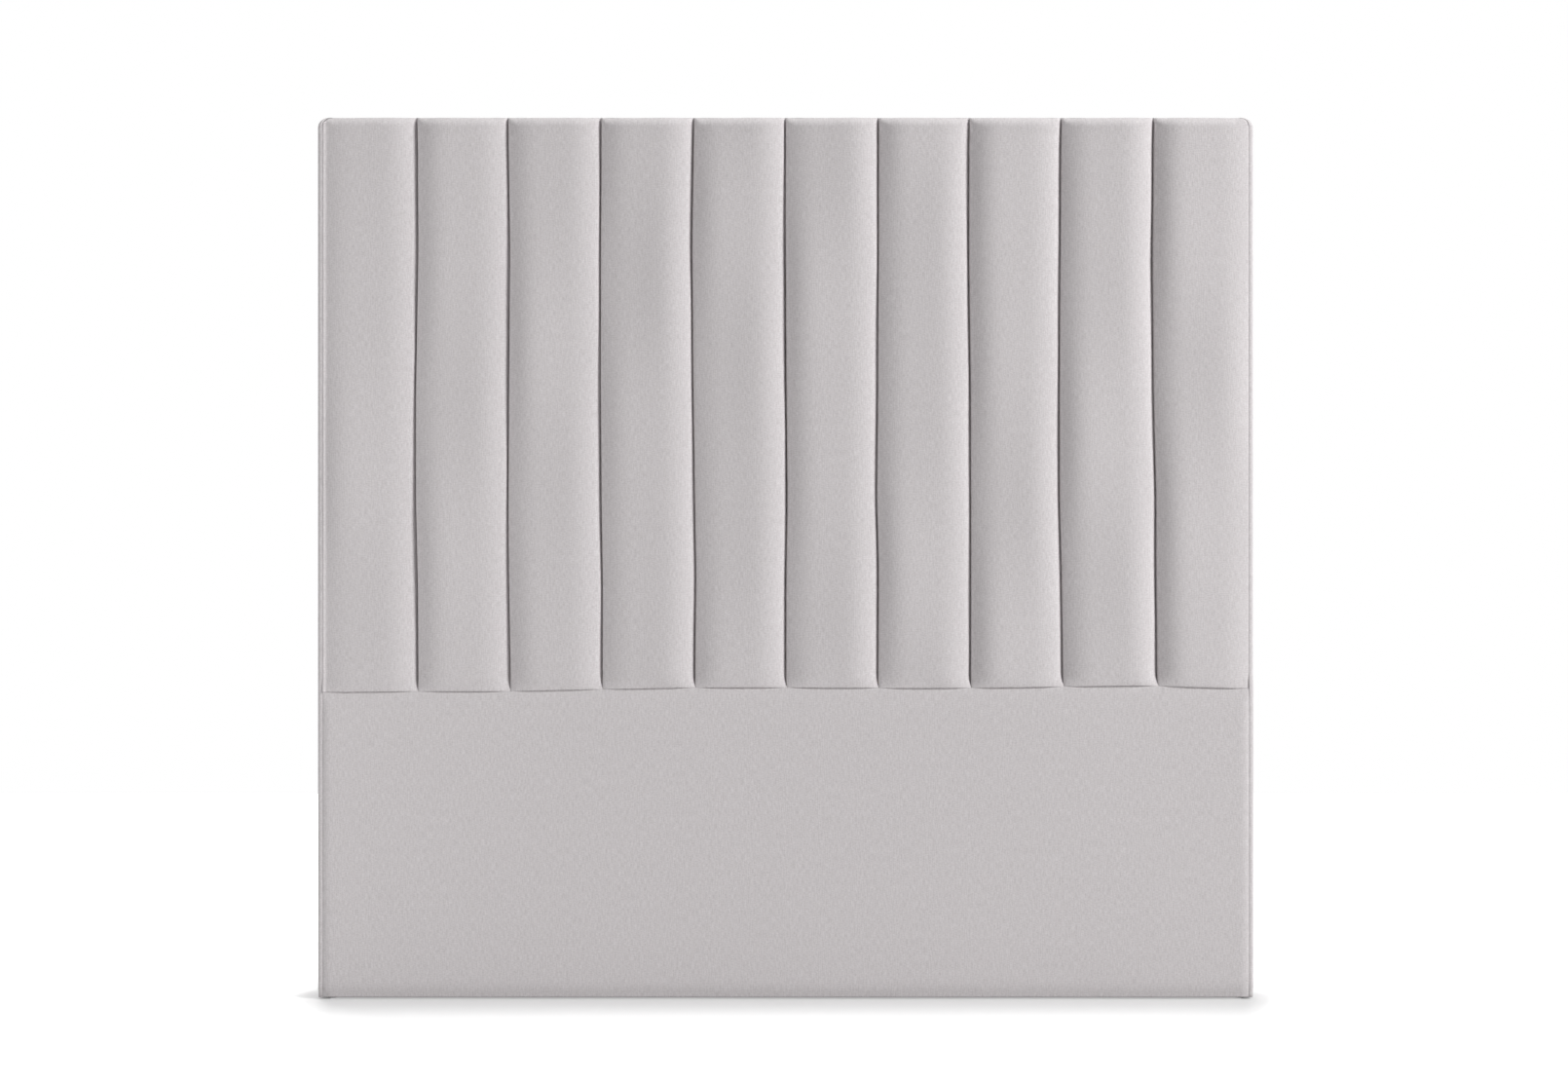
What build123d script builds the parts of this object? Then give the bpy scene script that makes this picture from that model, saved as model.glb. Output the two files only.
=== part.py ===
from build123d import *
import math
import os

# A floor-standing upholstered headboard: ten upright stuffed channels over a plain lower panel,
# on a timber frame with thin face boards. Millimetres. The front faces -Y, +Z is up, and the
# origin is on the floor under the middle of the headboard.

# Whole headboard, seen from the front
headboard_width = 1590.0
headboard_height = 1500.0
cross_seam_height = 528.0
top_corner_radius = 15.0
channel_count = 10

# Timber frame, with tenoned rails and posts
timber_depth = 70.0
timber_width = 45.0
post_count = 3
tenon_thickness = 15.0
tenon_width = 50.0
rail_tenon_length = 25.0
post_tenon_length = 15.0
cheek_clearance = 0.2
tenon_end_gap = 0.8
corner_block_leg = 60.0
corner_block_depth = 40.0

# Face boards, which meet behind the cross seam
board_thickness = 6.0
board_joint_gap = 2.0

# Cover, foam and wadding
cover_thickness = 1.2
edge_padding = 6.8
boxing_rise = 20.0
soft_clearance = 0.3

# Channels: heights are measured from the face board
channel_crown = 28.0
channel_seam_rise = 10.0
channel_shoulder = 34.0
top_roll = 17.0
top_end_crown = 15.0
seam_end_roll = 25.0
seam_end_crown = 19.0
seam_end_edge = 14.0
seam_end_outer_edge = 17.0

# Plain lower panel
panel_crown = 24.0
panel_shoulder = 26.0
panel_top_roll = 12.0
panel_top_edge = 18.0
bottom_roll = 19.0
bottom_end_crown = 5.0
bottom_end_edge = 4.0

# Form of every stuffed pad; the foam's ends, and the cover's inside there, have one slope
bow_share = 0.14
cover_roll_steps = 2
foam_roll_steps = 1

# Strip that holds the cross seam's allowance down on the boards
tack_strip_height = 14.0
tack_strip_thickness = 3.0

# Turned-over cover and the dust cover on the back, both measured in from the frame's outer faces
hem_width = 43.0
hem_staple_inset = 10.0
dust_cover_thickness = 0.6
dust_cover_overlap = 14.0
dust_staple_inset = 6.0

# Wire staples
staple_width = 10.0
staple_wire = 1.2
staple_crown = 0.6
board_staple_leg = 22.0
cover_staple_leg = 9.0
staple_end_margin = 70.0
upper_board_staple_rows = 3
lower_board_staple_rows = 2
tack_staple_count = 5
side_staple_count = 3
cross_staple_count = 3

# Threaded inserts in the back of the stiles
insert_side_inset = 18.0
insert_low_height = 250.0
insert_top_inset = 250.0
insert_radius = 6.0
insert_length = 30.0
insert_bore_radius = 3.4
insert_access_gap = 1.5

# Nail-on glides under the stiles: a square nail is moulded into each foot
glide_radius = 12.5
glide_height = 3.0
glide_edge_chamfer = 1.0
glide_floor = 1.0
glide_nail_width = 2.2
glide_nail_length = 24.0

# Planes from back to front, then from the floor up
side_build = edge_padding + cover_thickness
frame_width = headboard_width - 2 * side_build
headboard_depth = dust_cover_thickness + cover_thickness + timber_depth + board_thickness + channel_crown
back_y = headboard_depth / 2
hem_back_y = back_y - dust_cover_thickness
frame_back_y = hem_back_y - cover_thickness
frame_front_y = frame_back_y - timber_depth
frame_middle_y = (frame_front_y + frame_back_y) / 2
board_front_y = frame_front_y - board_thickness
base_z = glide_height
frame_bottom_z = base_z + cover_thickness
frame_top_z = headboard_height - side_build
half_frame = frame_width / 2
half_headboard = headboard_width / 2
stile_middle_x = half_frame - timber_width / 2
rail_length = frame_width - 2 * timber_width
channel_pitch = frame_width / channel_count
pad_gap = soft_clearance / 2
foam_inset = cover_thickness + soft_clearance
half_panel = half_frame - pad_gap

rail_heights = {
    "top_rail": frame_top_z - timber_width / 2,
    "seam_rail": cross_seam_height,
    "bottom_rail": frame_bottom_z + timber_width / 2,
}
post_places = [(k / (post_count + 1) - 1 / 2) * rail_length for k in range(1, post_count + 1)]
overrun = headboard_depth


def block(x_range, y_range, z_range):
    """A box between two places on each axis."""
    ranges = (x_range, y_range, z_range)
    sizes = [high - low for low, high in ranges]
    middle = [(low + high) / 2 for low, high in ranges]
    return Pos(*middle) * Box(*sizes)


def spread(low, high, count):
    """Evenly spaced places from low to high, both included."""
    return [low + (high - low) * k / (count - 1) for k in range(count)]


def seated(piece, fixings):
    """The piece with a seat cut for each fixing that reaches into it."""
    reach = piece.bounding_box()
    near = []
    for fixing in fixings:
        box = fixing.bounding_box()
        apart = (
            box.min.X >= reach.max.X or box.max.X <= reach.min.X
            or box.min.Y >= reach.max.Y or box.max.Y <= reach.min.Y
            or box.min.Z >= reach.max.Z or box.max.Z <= reach.min.Z
        )
        if not apart:
            near.append(fixing)
    return piece - near if near else piece


# Timber frame


def rail_tenon(side, height, clearance=0, end_gap=0):
    """The tenon at one end of a rail, or with clearances the mortise that takes it."""
    shoulder = side * rail_length / 2
    tip = side * (rail_length / 2 + rail_tenon_length + end_gap)
    half_width = tenon_width / 2 + clearance
    half_thickness = tenon_thickness / 2 + clearance
    return block(
        sorted((shoulder, tip)),
        (frame_middle_y - half_width, frame_middle_y + half_width),
        (height - half_thickness, height + half_thickness),
    )


def post_tenon(place, shoulder, direction, clearance=0, end_gap=0):
    """The tenon on a post's end that meets a rail face, or the mortise in that rail."""
    tip = shoulder + direction * (post_tenon_length + end_gap)
    half_width = tenon_width / 2 + clearance
    half_thickness = tenon_thickness / 2 + clearance
    return block(
        (place - half_thickness, place + half_thickness),
        (frame_middle_y - half_width, frame_middle_y + half_width),
        sorted((shoulder, tip)),
    )


def stile(side, fixings):
    """One upright of the frame, with a mortise for each rail."""
    inner, outer = side * rail_length / 2, side * half_frame
    body = block(sorted((inner, outer)), (frame_front_y, frame_back_y), (frame_bottom_z, frame_top_z))
    mortises = [rail_tenon(side, z, cheek_clearance, tenon_end_gap) for z in rail_heights.values()]
    return seated(body - mortises, fixings)


def rail(height, fixings, posts_above, posts_below):
    """One level piece of the frame, tenoned into both stiles and mortised for the posts."""
    low, high = height - timber_width / 2, height + timber_width / 2
    body = block(
        (-rail_length / 2, rail_length / 2), (frame_front_y, frame_back_y), (low, high)
    )
    body += [rail_tenon(side, height) for side in (-1, 1)]
    mortises = []
    for place in post_places:
        if posts_above:
            mortises.append(post_tenon(place, high, -1, cheek_clearance, tenon_end_gap))
        if posts_below:
            mortises.append(post_tenon(place, low, 1, cheek_clearance, tenon_end_gap))
    return seated(body - mortises, fixings)


def post(place, rail_below, rail_above, fixings):
    """One short upright between two rails, with a tenon at each end."""
    low, high = rail_below + timber_width / 2, rail_above - timber_width / 2
    body = block(
        (place - timber_width / 2, place + timber_width / 2),
        (frame_front_y, frame_back_y),
        (low, high),
    )
    body += [post_tenon(place, low, -1), post_tenon(place, high, 1)]
    return seated(body, fixings)


def corner_blocks():
    """Four triangular blocks glued into the inner corners of the frame."""
    solids = []
    top, bottom = frame_top_z - timber_width, frame_bottom_z + timber_width
    for side in (-1, 1):
        for corner_z, inward in ((top, -1), (bottom, 1)):
            corner_x = side * rail_length / 2
            outline = Polyline(
                (corner_x, corner_z),
                (corner_x - side * corner_block_leg, corner_z),
                (corner_x, corner_z + inward * corner_block_leg),
                close=True,
            )
            plane = Plane.XZ.offset(-frame_middle_y - corner_block_depth / 2)
            solids.append(extrude(plane * make_face(outline), corner_block_depth))
    return Compound(solids)


# Staples


def staple(leg):
    """A wire staple with its crown flush under the local origin plane and its legs pointing down."""
    body = Pos(0, 0, -leg / 2) * Box(staple_width, staple_wire, leg)
    throat_height = leg - staple_crown
    throat = Pos(0, 0, -staple_crown - throat_height / 2) * Box(
        staple_width - 2 * staple_wire, staple_wire, throat_height
    )
    return body - throat


def driven(leg, place, along, outward):
    """A staple driven into a face at a place, with its crown lying along a direction."""
    return Plane(origin=place, x_dir=along, z_dir=outward) * staple(leg)


def board_staples():
    """Staples that hold both face boards to the uprights and rails."""
    upright_places = [-stile_middle_x, *post_places, stile_middle_x]
    edge = timber_width / 4
    seam_low, seam_high = cross_seam_height - edge, cross_seam_height + edge
    upper_rows = spread(seam_high, frame_top_z - timber_width / 2, upper_board_staple_rows)
    lower_rows = spread(frame_bottom_z + timber_width / 2, seam_low, lower_board_staple_rows)
    return [
        driven(board_staple_leg, (x, board_front_y, z), (1, 0, 0), (0, -1, 0))
        for x in upright_places
        for z in [*upper_rows, *lower_rows]
    ]


def tack_strip_staples():
    """Staples across the tacking strip, one leg in each face board."""
    strip_front_y = board_front_y - tack_strip_thickness
    reach = half_frame - staple_end_margin
    return [
        driven(board_staple_leg, (x, strip_front_y, cross_seam_height), (0, 0, 1), (0, -1, 0))
        for x in spread(-reach, reach, tack_staple_count)
    ]


def back_staples(surface_y, inset):
    """Staples in a rectangle round the back, at one inset from the frame's outer faces."""
    low, high = frame_bottom_z + inset, frame_top_z - inset
    reach = half_frame - inset
    level = [
        driven(cover_staple_leg, (x, surface_y, z), (1, 0, 0), (0, 1, 0))
        for x in spread(staple_end_margin - reach, reach - staple_end_margin, cross_staple_count)
        for z in (low, high)
    ]
    upright = [
        driven(cover_staple_leg, (side * reach, surface_y, z), (0, 0, 1), (0, 1, 0))
        for z in spread(low + staple_end_margin, high - staple_end_margin, side_staple_count)
        for side in (-1, 1)
    ]
    return level + upright


# Face boards


def face_board(low, high, fixings):
    """A thin board across the whole front of the frame between two heights."""
    body = block((-half_frame, half_frame), (board_front_y, frame_front_y), (low, high))
    return seated(body, fixings)


# Stuffed pads


def pad_section(height, left, right, left_rise, right_rise, crown, shoulder):
    """The pad's outline at one height: flat on the board, rising from each seam to a slight crown."""
    bow = bow_share * (crown - min(left_rise, right_rise))
    shoulder_top = crown - bow
    middle = (left + right) / 2
    half_crown = (right - left) / 2 - shoulder
    slope = 2 * math.atan2(bow, half_crown)
    left_top = (left + shoulder, shoulder_top)
    right_top = (right - shoulder, shoulder_top)
    fall_left = (-math.cos(slope), -math.sin(slope))
    fall_right = (math.cos(slope), -math.sin(slope))
    edges = [
        Line((left, 0), (left, left_rise)),
        TangentArc(left_top, (left, left_rise), tangent=fall_left),
        ThreePointArc(left_top, (middle, crown), right_top),
        TangentArc(right_top, (right, right_rise), tangent=fall_right),
        Line((right, right_rise), (right, 0)),
        Line((right, 0), (left, 0)),
    ]
    plane = Plane(origin=(0, board_front_y, height), x_dir=(1, 0, 0), z_dir=(0, 0, -1))
    return plane * make_face(edges)


def pad(left, right, bottom, top, body, bottom_end, top_end, shoulder, inset, roll_steps):
    """A stuffed pad, lofted from its bottom seam to its top. body and both ends hold the rise at the
    left seam, at the right seam and at the crown; each end adds the length that it rolls over.
    inset draws every side but the back in, from the cover's outside to its inside or the foam."""

    def rolled_end(tip, inward, end):
        """Sections from the tip to the straight body: the edges rise evenly, the crown swells."""
        sections = []
        for k in range(roll_steps + 1):
            turn = math.pi / 2 * k / roll_steps
            length_share, swell_share = 1 - math.cos(turn), math.sin(turn)
            place = tip + inward * (end[-1] - inset) * length_share
            shares = (length_share, length_share, swell_share)
            rises = [e + (b - e) * share - inset for e, b, share in zip(end, body, shares)]
            sections.append(pad_section(place, left + inset, right - inset, *rises, shoulder))
        return sections

    low_sections = rolled_end(bottom + inset, 1, bottom_end)
    high_sections = rolled_end(top - inset, -1, top_end)
    return loft(low_sections + high_sections[::-1], ruled=True)


def corner_limit(inset):
    """A prism through the headboard with its rounded top corners, drawn in by inset."""
    low, high = base_z + inset, headboard_height - inset
    outline = Pos(0, (low + high) / 2) * Rectangle(headboard_width - 2 * inset, high - low)
    top_corners = outline.vertices().group_by(Axis.Y)[-1]
    return fillet(top_corners, top_corner_radius - inset)


def through(sketch):
    """A front-view sketch pushed right through the headboard."""
    return extrude(Plane.XZ * sketch, headboard_depth, both=True)


def tack_strip(clearance=0):
    """The strip on the boards behind the cross seam, or with clearance the space it takes."""
    half_height = tack_strip_height / 2 + clearance
    return block(
        (-half_frame - clearance, half_frame + clearance),
        (board_front_y - tack_strip_thickness - clearance, board_front_y),
        (cross_seam_height - half_height, cross_seam_height + half_height),
    )


def channel_pad(index, inset, roll_steps):
    """One upright channel, between two seams and over the top edge."""
    left = index * channel_pitch - half_frame
    first, last = index == 0, index == channel_count - 1
    rises = [boxing_rise if outer else channel_seam_rise for outer in (first, last)]
    seam_edges = [seam_end_outer_edge if outer else seam_end_edge for outer in (first, last)]
    form = pad(
        left + pad_gap,
        left + channel_pitch - pad_gap,
        cross_seam_height + pad_gap,
        headboard_height,
        (*rises, channel_crown),
        (*seam_edges, seam_end_crown, seam_end_roll),
        (channel_seam_rise, channel_seam_rise, top_end_crown, top_roll),
        channel_shoulder,
        inset,
        roll_steps,
    )
    if first or last:
        form &= through(corner_limit(inset))
    return form - tack_strip(soft_clearance)


def lower_pad(inset, roll_steps):
    """The plain panel from the cross seam to the underside."""
    form = pad(
        -half_panel,
        half_panel,
        base_z,
        cross_seam_height - pad_gap,
        (boxing_rise, boxing_rise, panel_crown),
        (bottom_end_edge, bottom_end_edge, bottom_end_crown, bottom_roll),
        (seam_end_outer_edge, seam_end_outer_edge, panel_top_edge, panel_top_roll),
        panel_shoulder,
        inset,
        roll_steps,
    )
    return form - tack_strip(soft_clearance)


def skin_over(pad_form, *place):
    """The cover of a pad: its rolled outer form less a plainer one, drawn in by the cloth's thickness."""
    return pad_form(*place, 0, cover_roll_steps) - pad_form(*place, cover_thickness, foam_roll_steps)


def lower_cover(fixings):
    """The lower panel's fabric, turned under the frame and up its back as a hem."""
    skin = skin_over(lower_pad)
    half_hem = half_frame - hem_width
    underside = block(
        (-half_panel, half_panel), (board_front_y, frame_back_y), (base_z, frame_bottom_z)
    )
    back_hem = block(
        (-half_hem, half_hem), (frame_back_y, hem_back_y), (base_z, frame_bottom_z + hem_width)
    )
    return seated(skin + underside + back_hem, fixings)


# Edge wadding and boxing


def edge_slab(inset):
    """The rounded slab that the boxing wraps, drawn in by inset, from the hem to the front seam."""
    back = hem_back_y - inset
    front = board_front_y - boxing_rise + inset
    plane = Plane(origin=(0, back, 0), x_dir=(1, 0, 0), z_dir=(0, -1, 0))
    slab = extrude(plane * corner_limit(inset), back - front)
    front_edges = slab.faces().sort_by(Axis.Y)[0].edges().sort_by(Axis.Z)[1:]
    return fillet(front_edges, side_build - inset)


def pad_window():
    """The space in front of the boards that the stuffed pads fill."""
    return block(
        (-half_frame, half_frame),
        (board_front_y - overrun, board_front_y),
        (-overrun, headboard_height + overrun),
    )


def boxing_strip(fixings):
    """The fabric band round the left, top and right edges, from the front seam to its hem."""
    half_hem = half_frame - hem_width
    back_window = block(
        (-half_hem, half_hem), (frame_back_y, back_y), (-overrun, frame_top_z - hem_width)
    )
    underside = block(
        (-half_frame, half_frame), (board_front_y, frame_back_y), (-overrun, frame_bottom_z)
    )
    band = edge_slab(0) - edge_slab(cover_thickness) - [pad_window(), back_window, underside]
    return seated(band, fixings)


def edge_waddings():
    """The soft strips between the frame's outer faces and the boxing: left, right and top."""
    carcass = block(
        (-half_frame, half_frame), (board_front_y, back_y), (-overrun, frame_top_z)
    )
    ring = edge_slab(cover_thickness) - [pad_window(), carcass]
    parts = {}
    for name, x_range in (
        ("edge_wadding_left", (-half_headboard, -half_frame)),
        ("edge_wadding_right", (half_frame, half_headboard)),
        ("edge_wadding_top", (-half_frame, half_frame)),
    ):
        parts[name] = ring & block(
            x_range, (-overrun, back_y), (base_z - overrun, headboard_height + overrun)
        )
    return parts


# Back and base


def insert_places():
    """Where the threaded inserts sit: two in each stile, outside the dust cover."""
    return [
        (side * (half_frame - insert_side_inset), z)
        for side in (-1, 1)
        for z in (insert_low_height, headboard_height - insert_top_inset)
    ]


def insert_holes():
    """What is drilled in the stiles for the inserts."""
    middle_y = frame_back_y - insert_length / 2
    return [
        Pos(x, middle_y, z) * Rot(X=90) * Cylinder(insert_radius, insert_length)
        for x, z in insert_places()
    ]


def inserts():
    """Four threaded inserts, flush with the back of the stiles."""
    bore = Rot(X=90) * Cylinder(insert_bore_radius, headboard_depth)
    return [hole - Pos(*hole.center()) * bore for hole in insert_holes()]


def hem_windows():
    """Square windows cut through the hem over the inserts."""
    reach = insert_radius + insert_access_gap
    return [
        block((x - reach, x + reach), (frame_back_y, hem_back_y), (z - reach, z + reach))
        for x, z in insert_places()
    ]


def dust_cover(fixings):
    """The black cloth that closes the back, over the inner part of every hem."""
    inset = hem_width - dust_cover_overlap
    reach = half_frame - inset
    sheet = block(
        (-reach, reach), (hem_back_y, back_y), (frame_bottom_z + inset, frame_top_z - inset)
    )
    return seated(sheet, fixings)


def glide_places():
    """Two glides under each stile: one flush with the face board, one flush with the frame's back."""
    x = half_frame - glide_radius
    return [
        (side * x, y)
        for side in (-1, 1)
        for y in (board_front_y + glide_radius, frame_back_y - glide_radius)
    ]


def glide_nail(x, y):
    """A square nail that stands on the glide's floor and is driven up into the stile."""
    half_width = glide_nail_width / 2
    return block(
        (x - half_width, x + half_width),
        (y - half_width, y + half_width),
        (glide_floor, glide_floor + glide_nail_length),
    )


def glide(x, y, nail):
    """A low round glide with a chamfered foot, moulded round its nail."""
    disc = Pos(x, y, glide_height / 2) * Cylinder(glide_radius, glide_height)
    foot_edge = disc.edges().sort_by(Axis.Z)[0]
    return chamfer(foot_edge, glide_edge_chamfer) - nail


def build_frame(fixings):
    """Stiles, rails, posts and corner blocks."""
    parts = {"stile_left": stile(-1, fixings), "stile_right": stile(1, fixings)}
    parts["top_rail"] = rail(rail_heights["top_rail"], fixings, False, True)
    parts["seam_rail"] = rail(rail_heights["seam_rail"], fixings, True, True)
    parts["bottom_rail"] = rail(rail_heights["bottom_rail"], fixings, True, False)
    for number, place in enumerate(post_places, 1):
        spans = {"upper": ("seam_rail", "top_rail"), "lower": ("bottom_rail", "seam_rail")}
        for name, (below, above) in spans.items():
            parts[f"{name}_post_{number}"] = post(
                place, rail_heights[below], rail_heights[above], fixings
            )
    parts["corner_blocks"] = corner_blocks()
    return parts


def build_pads(fixings):
    """Foam and cover of each channel and of the lower panel."""
    parts = {}
    for index in range(channel_count):
        foam = channel_pad(index, foam_inset, foam_roll_steps)
        parts[f"channel_foam_{index + 1:02d}"] = foam
        parts[f"channel_cover_{index + 1:02d}"] = skin_over(channel_pad, index)
    parts["lower_foam"] = lower_pad(foam_inset, foam_roll_steps)
    parts["lower_cover"] = lower_cover(fixings)
    return parts


def build_headboard():
    """Every piece of the headboard, by name."""
    board_fixings = board_staples()
    tack_fixings = tack_strip_staples()
    hem_fixings = back_staples(hem_back_y, hem_staple_inset)
    dust_line = hem_width - dust_cover_overlap + dust_staple_inset
    dust_fixings = back_staples(back_y, dust_line)
    glide_nails = [glide_nail(x, y) for x, y in glide_places()]
    front_staples = board_fixings + tack_fixings
    cover_staples = hem_fixings + dust_fixings

    parts = build_frame(insert_holes() + front_staples + cover_staples + glide_nails)
    seam_gap = board_joint_gap / 2
    parts["upper_face_board"] = face_board(cross_seam_height + seam_gap, frame_top_z, front_staples)
    parts["lower_face_board"] = face_board(
        frame_bottom_z, cross_seam_height - seam_gap, front_staples
    )
    parts["tack_strip"] = seated(tack_strip(), tack_fixings)
    parts.update(build_pads(cover_staples + glide_nails))
    parts.update(edge_waddings())
    parts["boxing_strip"] = boxing_strip(cover_staples + hem_windows())
    parts["dust_cover"] = dust_cover(dust_fixings)
    groups = {
        "board_staples": board_fixings,
        "tack_strip_staples": tack_fixings,
        "hem_staples": hem_fixings,
        "dust_cover_staples": dust_fixings,
        "threaded_inserts": inserts(),
        "glides": [glide(x, y, nail) for (x, y), nail in zip(glide_places(), glide_nails)],
        "glide_nails": glide_nails,
    }
    parts.update({name: Compound(solids) for name, solids in groups.items()})
    return parts


def write_parts(parts):
    """One file for each named piece."""
    os.makedirs("parts", exist_ok=True)
    for name, solid in parts.items():
        export_step(solid, f"parts/{name}.step")


write_parts(build_headboard())
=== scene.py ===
"""Looks of the upholstered headboard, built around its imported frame. Sizes are in millimetres."""

import logging
import math
from dataclasses import dataclass, field, replace
from enum import Enum

import bpy
import numpy as np
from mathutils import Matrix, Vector


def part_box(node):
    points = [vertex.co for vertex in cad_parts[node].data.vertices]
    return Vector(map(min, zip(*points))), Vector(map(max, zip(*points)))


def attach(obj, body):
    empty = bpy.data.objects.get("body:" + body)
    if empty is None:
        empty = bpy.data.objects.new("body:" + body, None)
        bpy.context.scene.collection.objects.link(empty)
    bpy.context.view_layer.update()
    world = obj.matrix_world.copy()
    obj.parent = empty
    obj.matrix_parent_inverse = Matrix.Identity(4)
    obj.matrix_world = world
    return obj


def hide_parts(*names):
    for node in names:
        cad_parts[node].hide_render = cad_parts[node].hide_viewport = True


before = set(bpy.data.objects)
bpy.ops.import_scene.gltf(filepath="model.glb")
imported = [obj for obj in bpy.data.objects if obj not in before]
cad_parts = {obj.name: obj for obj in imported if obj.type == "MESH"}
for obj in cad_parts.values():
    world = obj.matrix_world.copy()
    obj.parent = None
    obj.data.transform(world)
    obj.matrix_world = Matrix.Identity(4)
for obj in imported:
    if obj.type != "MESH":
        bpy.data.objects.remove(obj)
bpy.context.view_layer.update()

log = logging.getLogger("headboard")

MM = 0.001
ROOT = "root"
CLOTH_UV = "cloth"
# Past any distance on the headboard, in millimetres
FAR = 9999.0

# Planes and lines that the pieces share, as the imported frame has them
BOARD_FRONT = -24.9
FRAME_BACK = 51.1
# The hem's cloth lies just under the crowns of its staples
HEM_BACK = 52.15
HALF_FRAME = 787.0
FRAME_TOP = 1492.0
TOP = 1500.0
BASE = 3.0
CROSS_SEAM = 528.0
CHANNELS = 10


class Grain(Enum):
    """The way that the grain of a board or rail runs."""

    ALONG_X = 0
    ALONG_Z = 2


# Small helpers


def hex_colour(code: str) -> tuple[float, float, float, float]:
    """Turns an sRGB hex colour into linear light.

    Args:
        code: The colour, such as #C0BCBD.

    Returns:
        Linear red, green and blue, and a full alpha.
    """
    shares = [int(code[k : k + 2], 16) / 255 for k in (1, 3, 5)]
    return (*[s / 12.92 if s <= 0.04045 else ((s + 0.055) / 1.055) ** 2.4 for s in shares], 1.0)


def add_node(
    tree: bpy.types.NodeTree,
    kind: str,
    inputs: dict[str | int, object] | None = None,
    **settings: object,
) -> bpy.types.Node:
    """Adds one node with its settings, values and links.

    Args:
        tree: The tree that it goes into.
        kind: Its type, without ShaderNode in front.
        inputs: A plain value, or the output that feeds it, for each input by name or number.
        settings: Its own settings, such as operation.

    Returns:
        The new node.
    """
    node = tree.nodes.new("ShaderNode" + kind)
    for key, value in settings.items():
        setattr(node, key, value)
    for key, value in (inputs or {}).items():
        if isinstance(value, bpy.types.NodeSocket):
            tree.links.new(value, node.inputs[key])
        else:
            node.inputs[key].default_value = value
    return node


def waves(along: np.ndarray, parts: list[tuple[float, float, float]]) -> np.ndarray:
    """Adds up sine waves, for small unevenness that is the same in each run.

    Args:
        along: Places in millimetres.
        parts: Height, wavelength and shift of each wave, in millimetres and turns.

    Returns:
        The height at each place.
    """
    total = np.zeros_like(along, dtype=float)
    for height, length, shift in parts:
        total = total + height * np.sin(2 * math.pi * (along / length + shift))
    return total


def stitch_dip(distance: np.ndarray, depth: float, reach: float) -> np.ndarray:
    """How far stitches draw the cloth in at a distance from them, given their depth and reach."""
    return depth * np.exp(-distance / reach)


def eased(share: np.ndarray) -> np.ndarray:
    """A smooth step from 0 to 1 over shares of 0 to 1."""
    clipped = np.clip(share, 0, 1)
    return clipped * clipped * (3 - 2 * clipped)


def grid_quads(rows: int, columns: int, first: int = 0) -> list[tuple[int, int, int, int]]:
    """Quads of a grid whose points are numbered row by row.

    Args:
        rows: Points along the first way.
        columns: Points along the second way.
        first: The number of the first point.

    Returns:
        Four point numbers for each quad.
    """
    return [
        (a, a + 1, a + columns + 1, a + columns)
        for r in range(rows - 1)
        for a in range(first + r * columns, first + r * columns + columns - 1)
    ]


def make_piece(
    name: str,
    points: np.ndarray,
    faces: list[tuple[int, ...]],
    cloth: np.ndarray | None = None,
) -> bpy.types.Object:
    """Makes a smooth mesh piece in the scene, with its faces turned outward.

    Args:
        name: The piece's name.
        points: Places in millimetres, one row each.
        faces: Point numbers of each face.
        cloth: Flat cloth places in millimetres, one row for each point.

    Returns:
        The new object.
    """
    mesh = bpy.data.meshes.new(name)
    mesh.from_pydata([tuple(p) for p in np.asarray(points) * MM], [], faces)
    if cloth is not None:
        layer = mesh.uv_layers.new(name=CLOTH_UV)
        loops = np.zeros(len(mesh.loops), dtype=int)
        mesh.loops.foreach_get("vertex_index", loops)
        layer.data.foreach_set("uv", (np.asarray(cloth)[loops] * MM).ravel())
    mesh.polygons.foreach_set("use_smooth", [True] * len(mesh.polygons))
    mesh.update()
    piece = bpy.data.objects.new(name, mesh)
    bpy.context.scene.collection.objects.link(piece)
    turn_outward(piece)
    return piece


def mesh_points(mesh: bpy.types.Mesh) -> np.ndarray:
    """Reads where a mesh's points are.

    Args:
        mesh: The mesh.

    Returns:
        Its points in metres, one row each.
    """
    places = np.zeros(len(mesh.vertices) * 3)
    mesh.vertices.foreach_get("co", places)
    return places.reshape(-1, 3)


def softened(values: np.ndarray, passes: int = 3) -> np.ndarray:
    """Averages a grid of values with their neighbours both ways, and keeps its rim.

    Args:
        values: Rows and columns of values.
        passes: How often they are averaged.

    Returns:
        The smoother grid.
    """
    result = values.copy()
    for _ in range(passes):
        for way in (0, 1):
            turned = np.moveaxis(result, way, 0)
            turned[1:-1] = (turned[:-2] + 2 * turned[1:-1] + turned[2:]) / 4
    return result


def turn_outward(piece: bpy.types.Object) -> None:
    """Turns a closed mesh's faces outward.

    Args:
        piece: The closed mesh piece.
    """
    volume = 0.0
    points = [v.co for v in piece.data.vertices]
    for polygon in piece.data.polygons:
        corners = [points[k] for k in polygon.vertices]
        for second, third in zip(corners[1:], corners[2:]):
            volume += corners[0].dot(second.cross(third))
    if volume < 0:
        piece.data.flip_normals()


# Finishes


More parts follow.
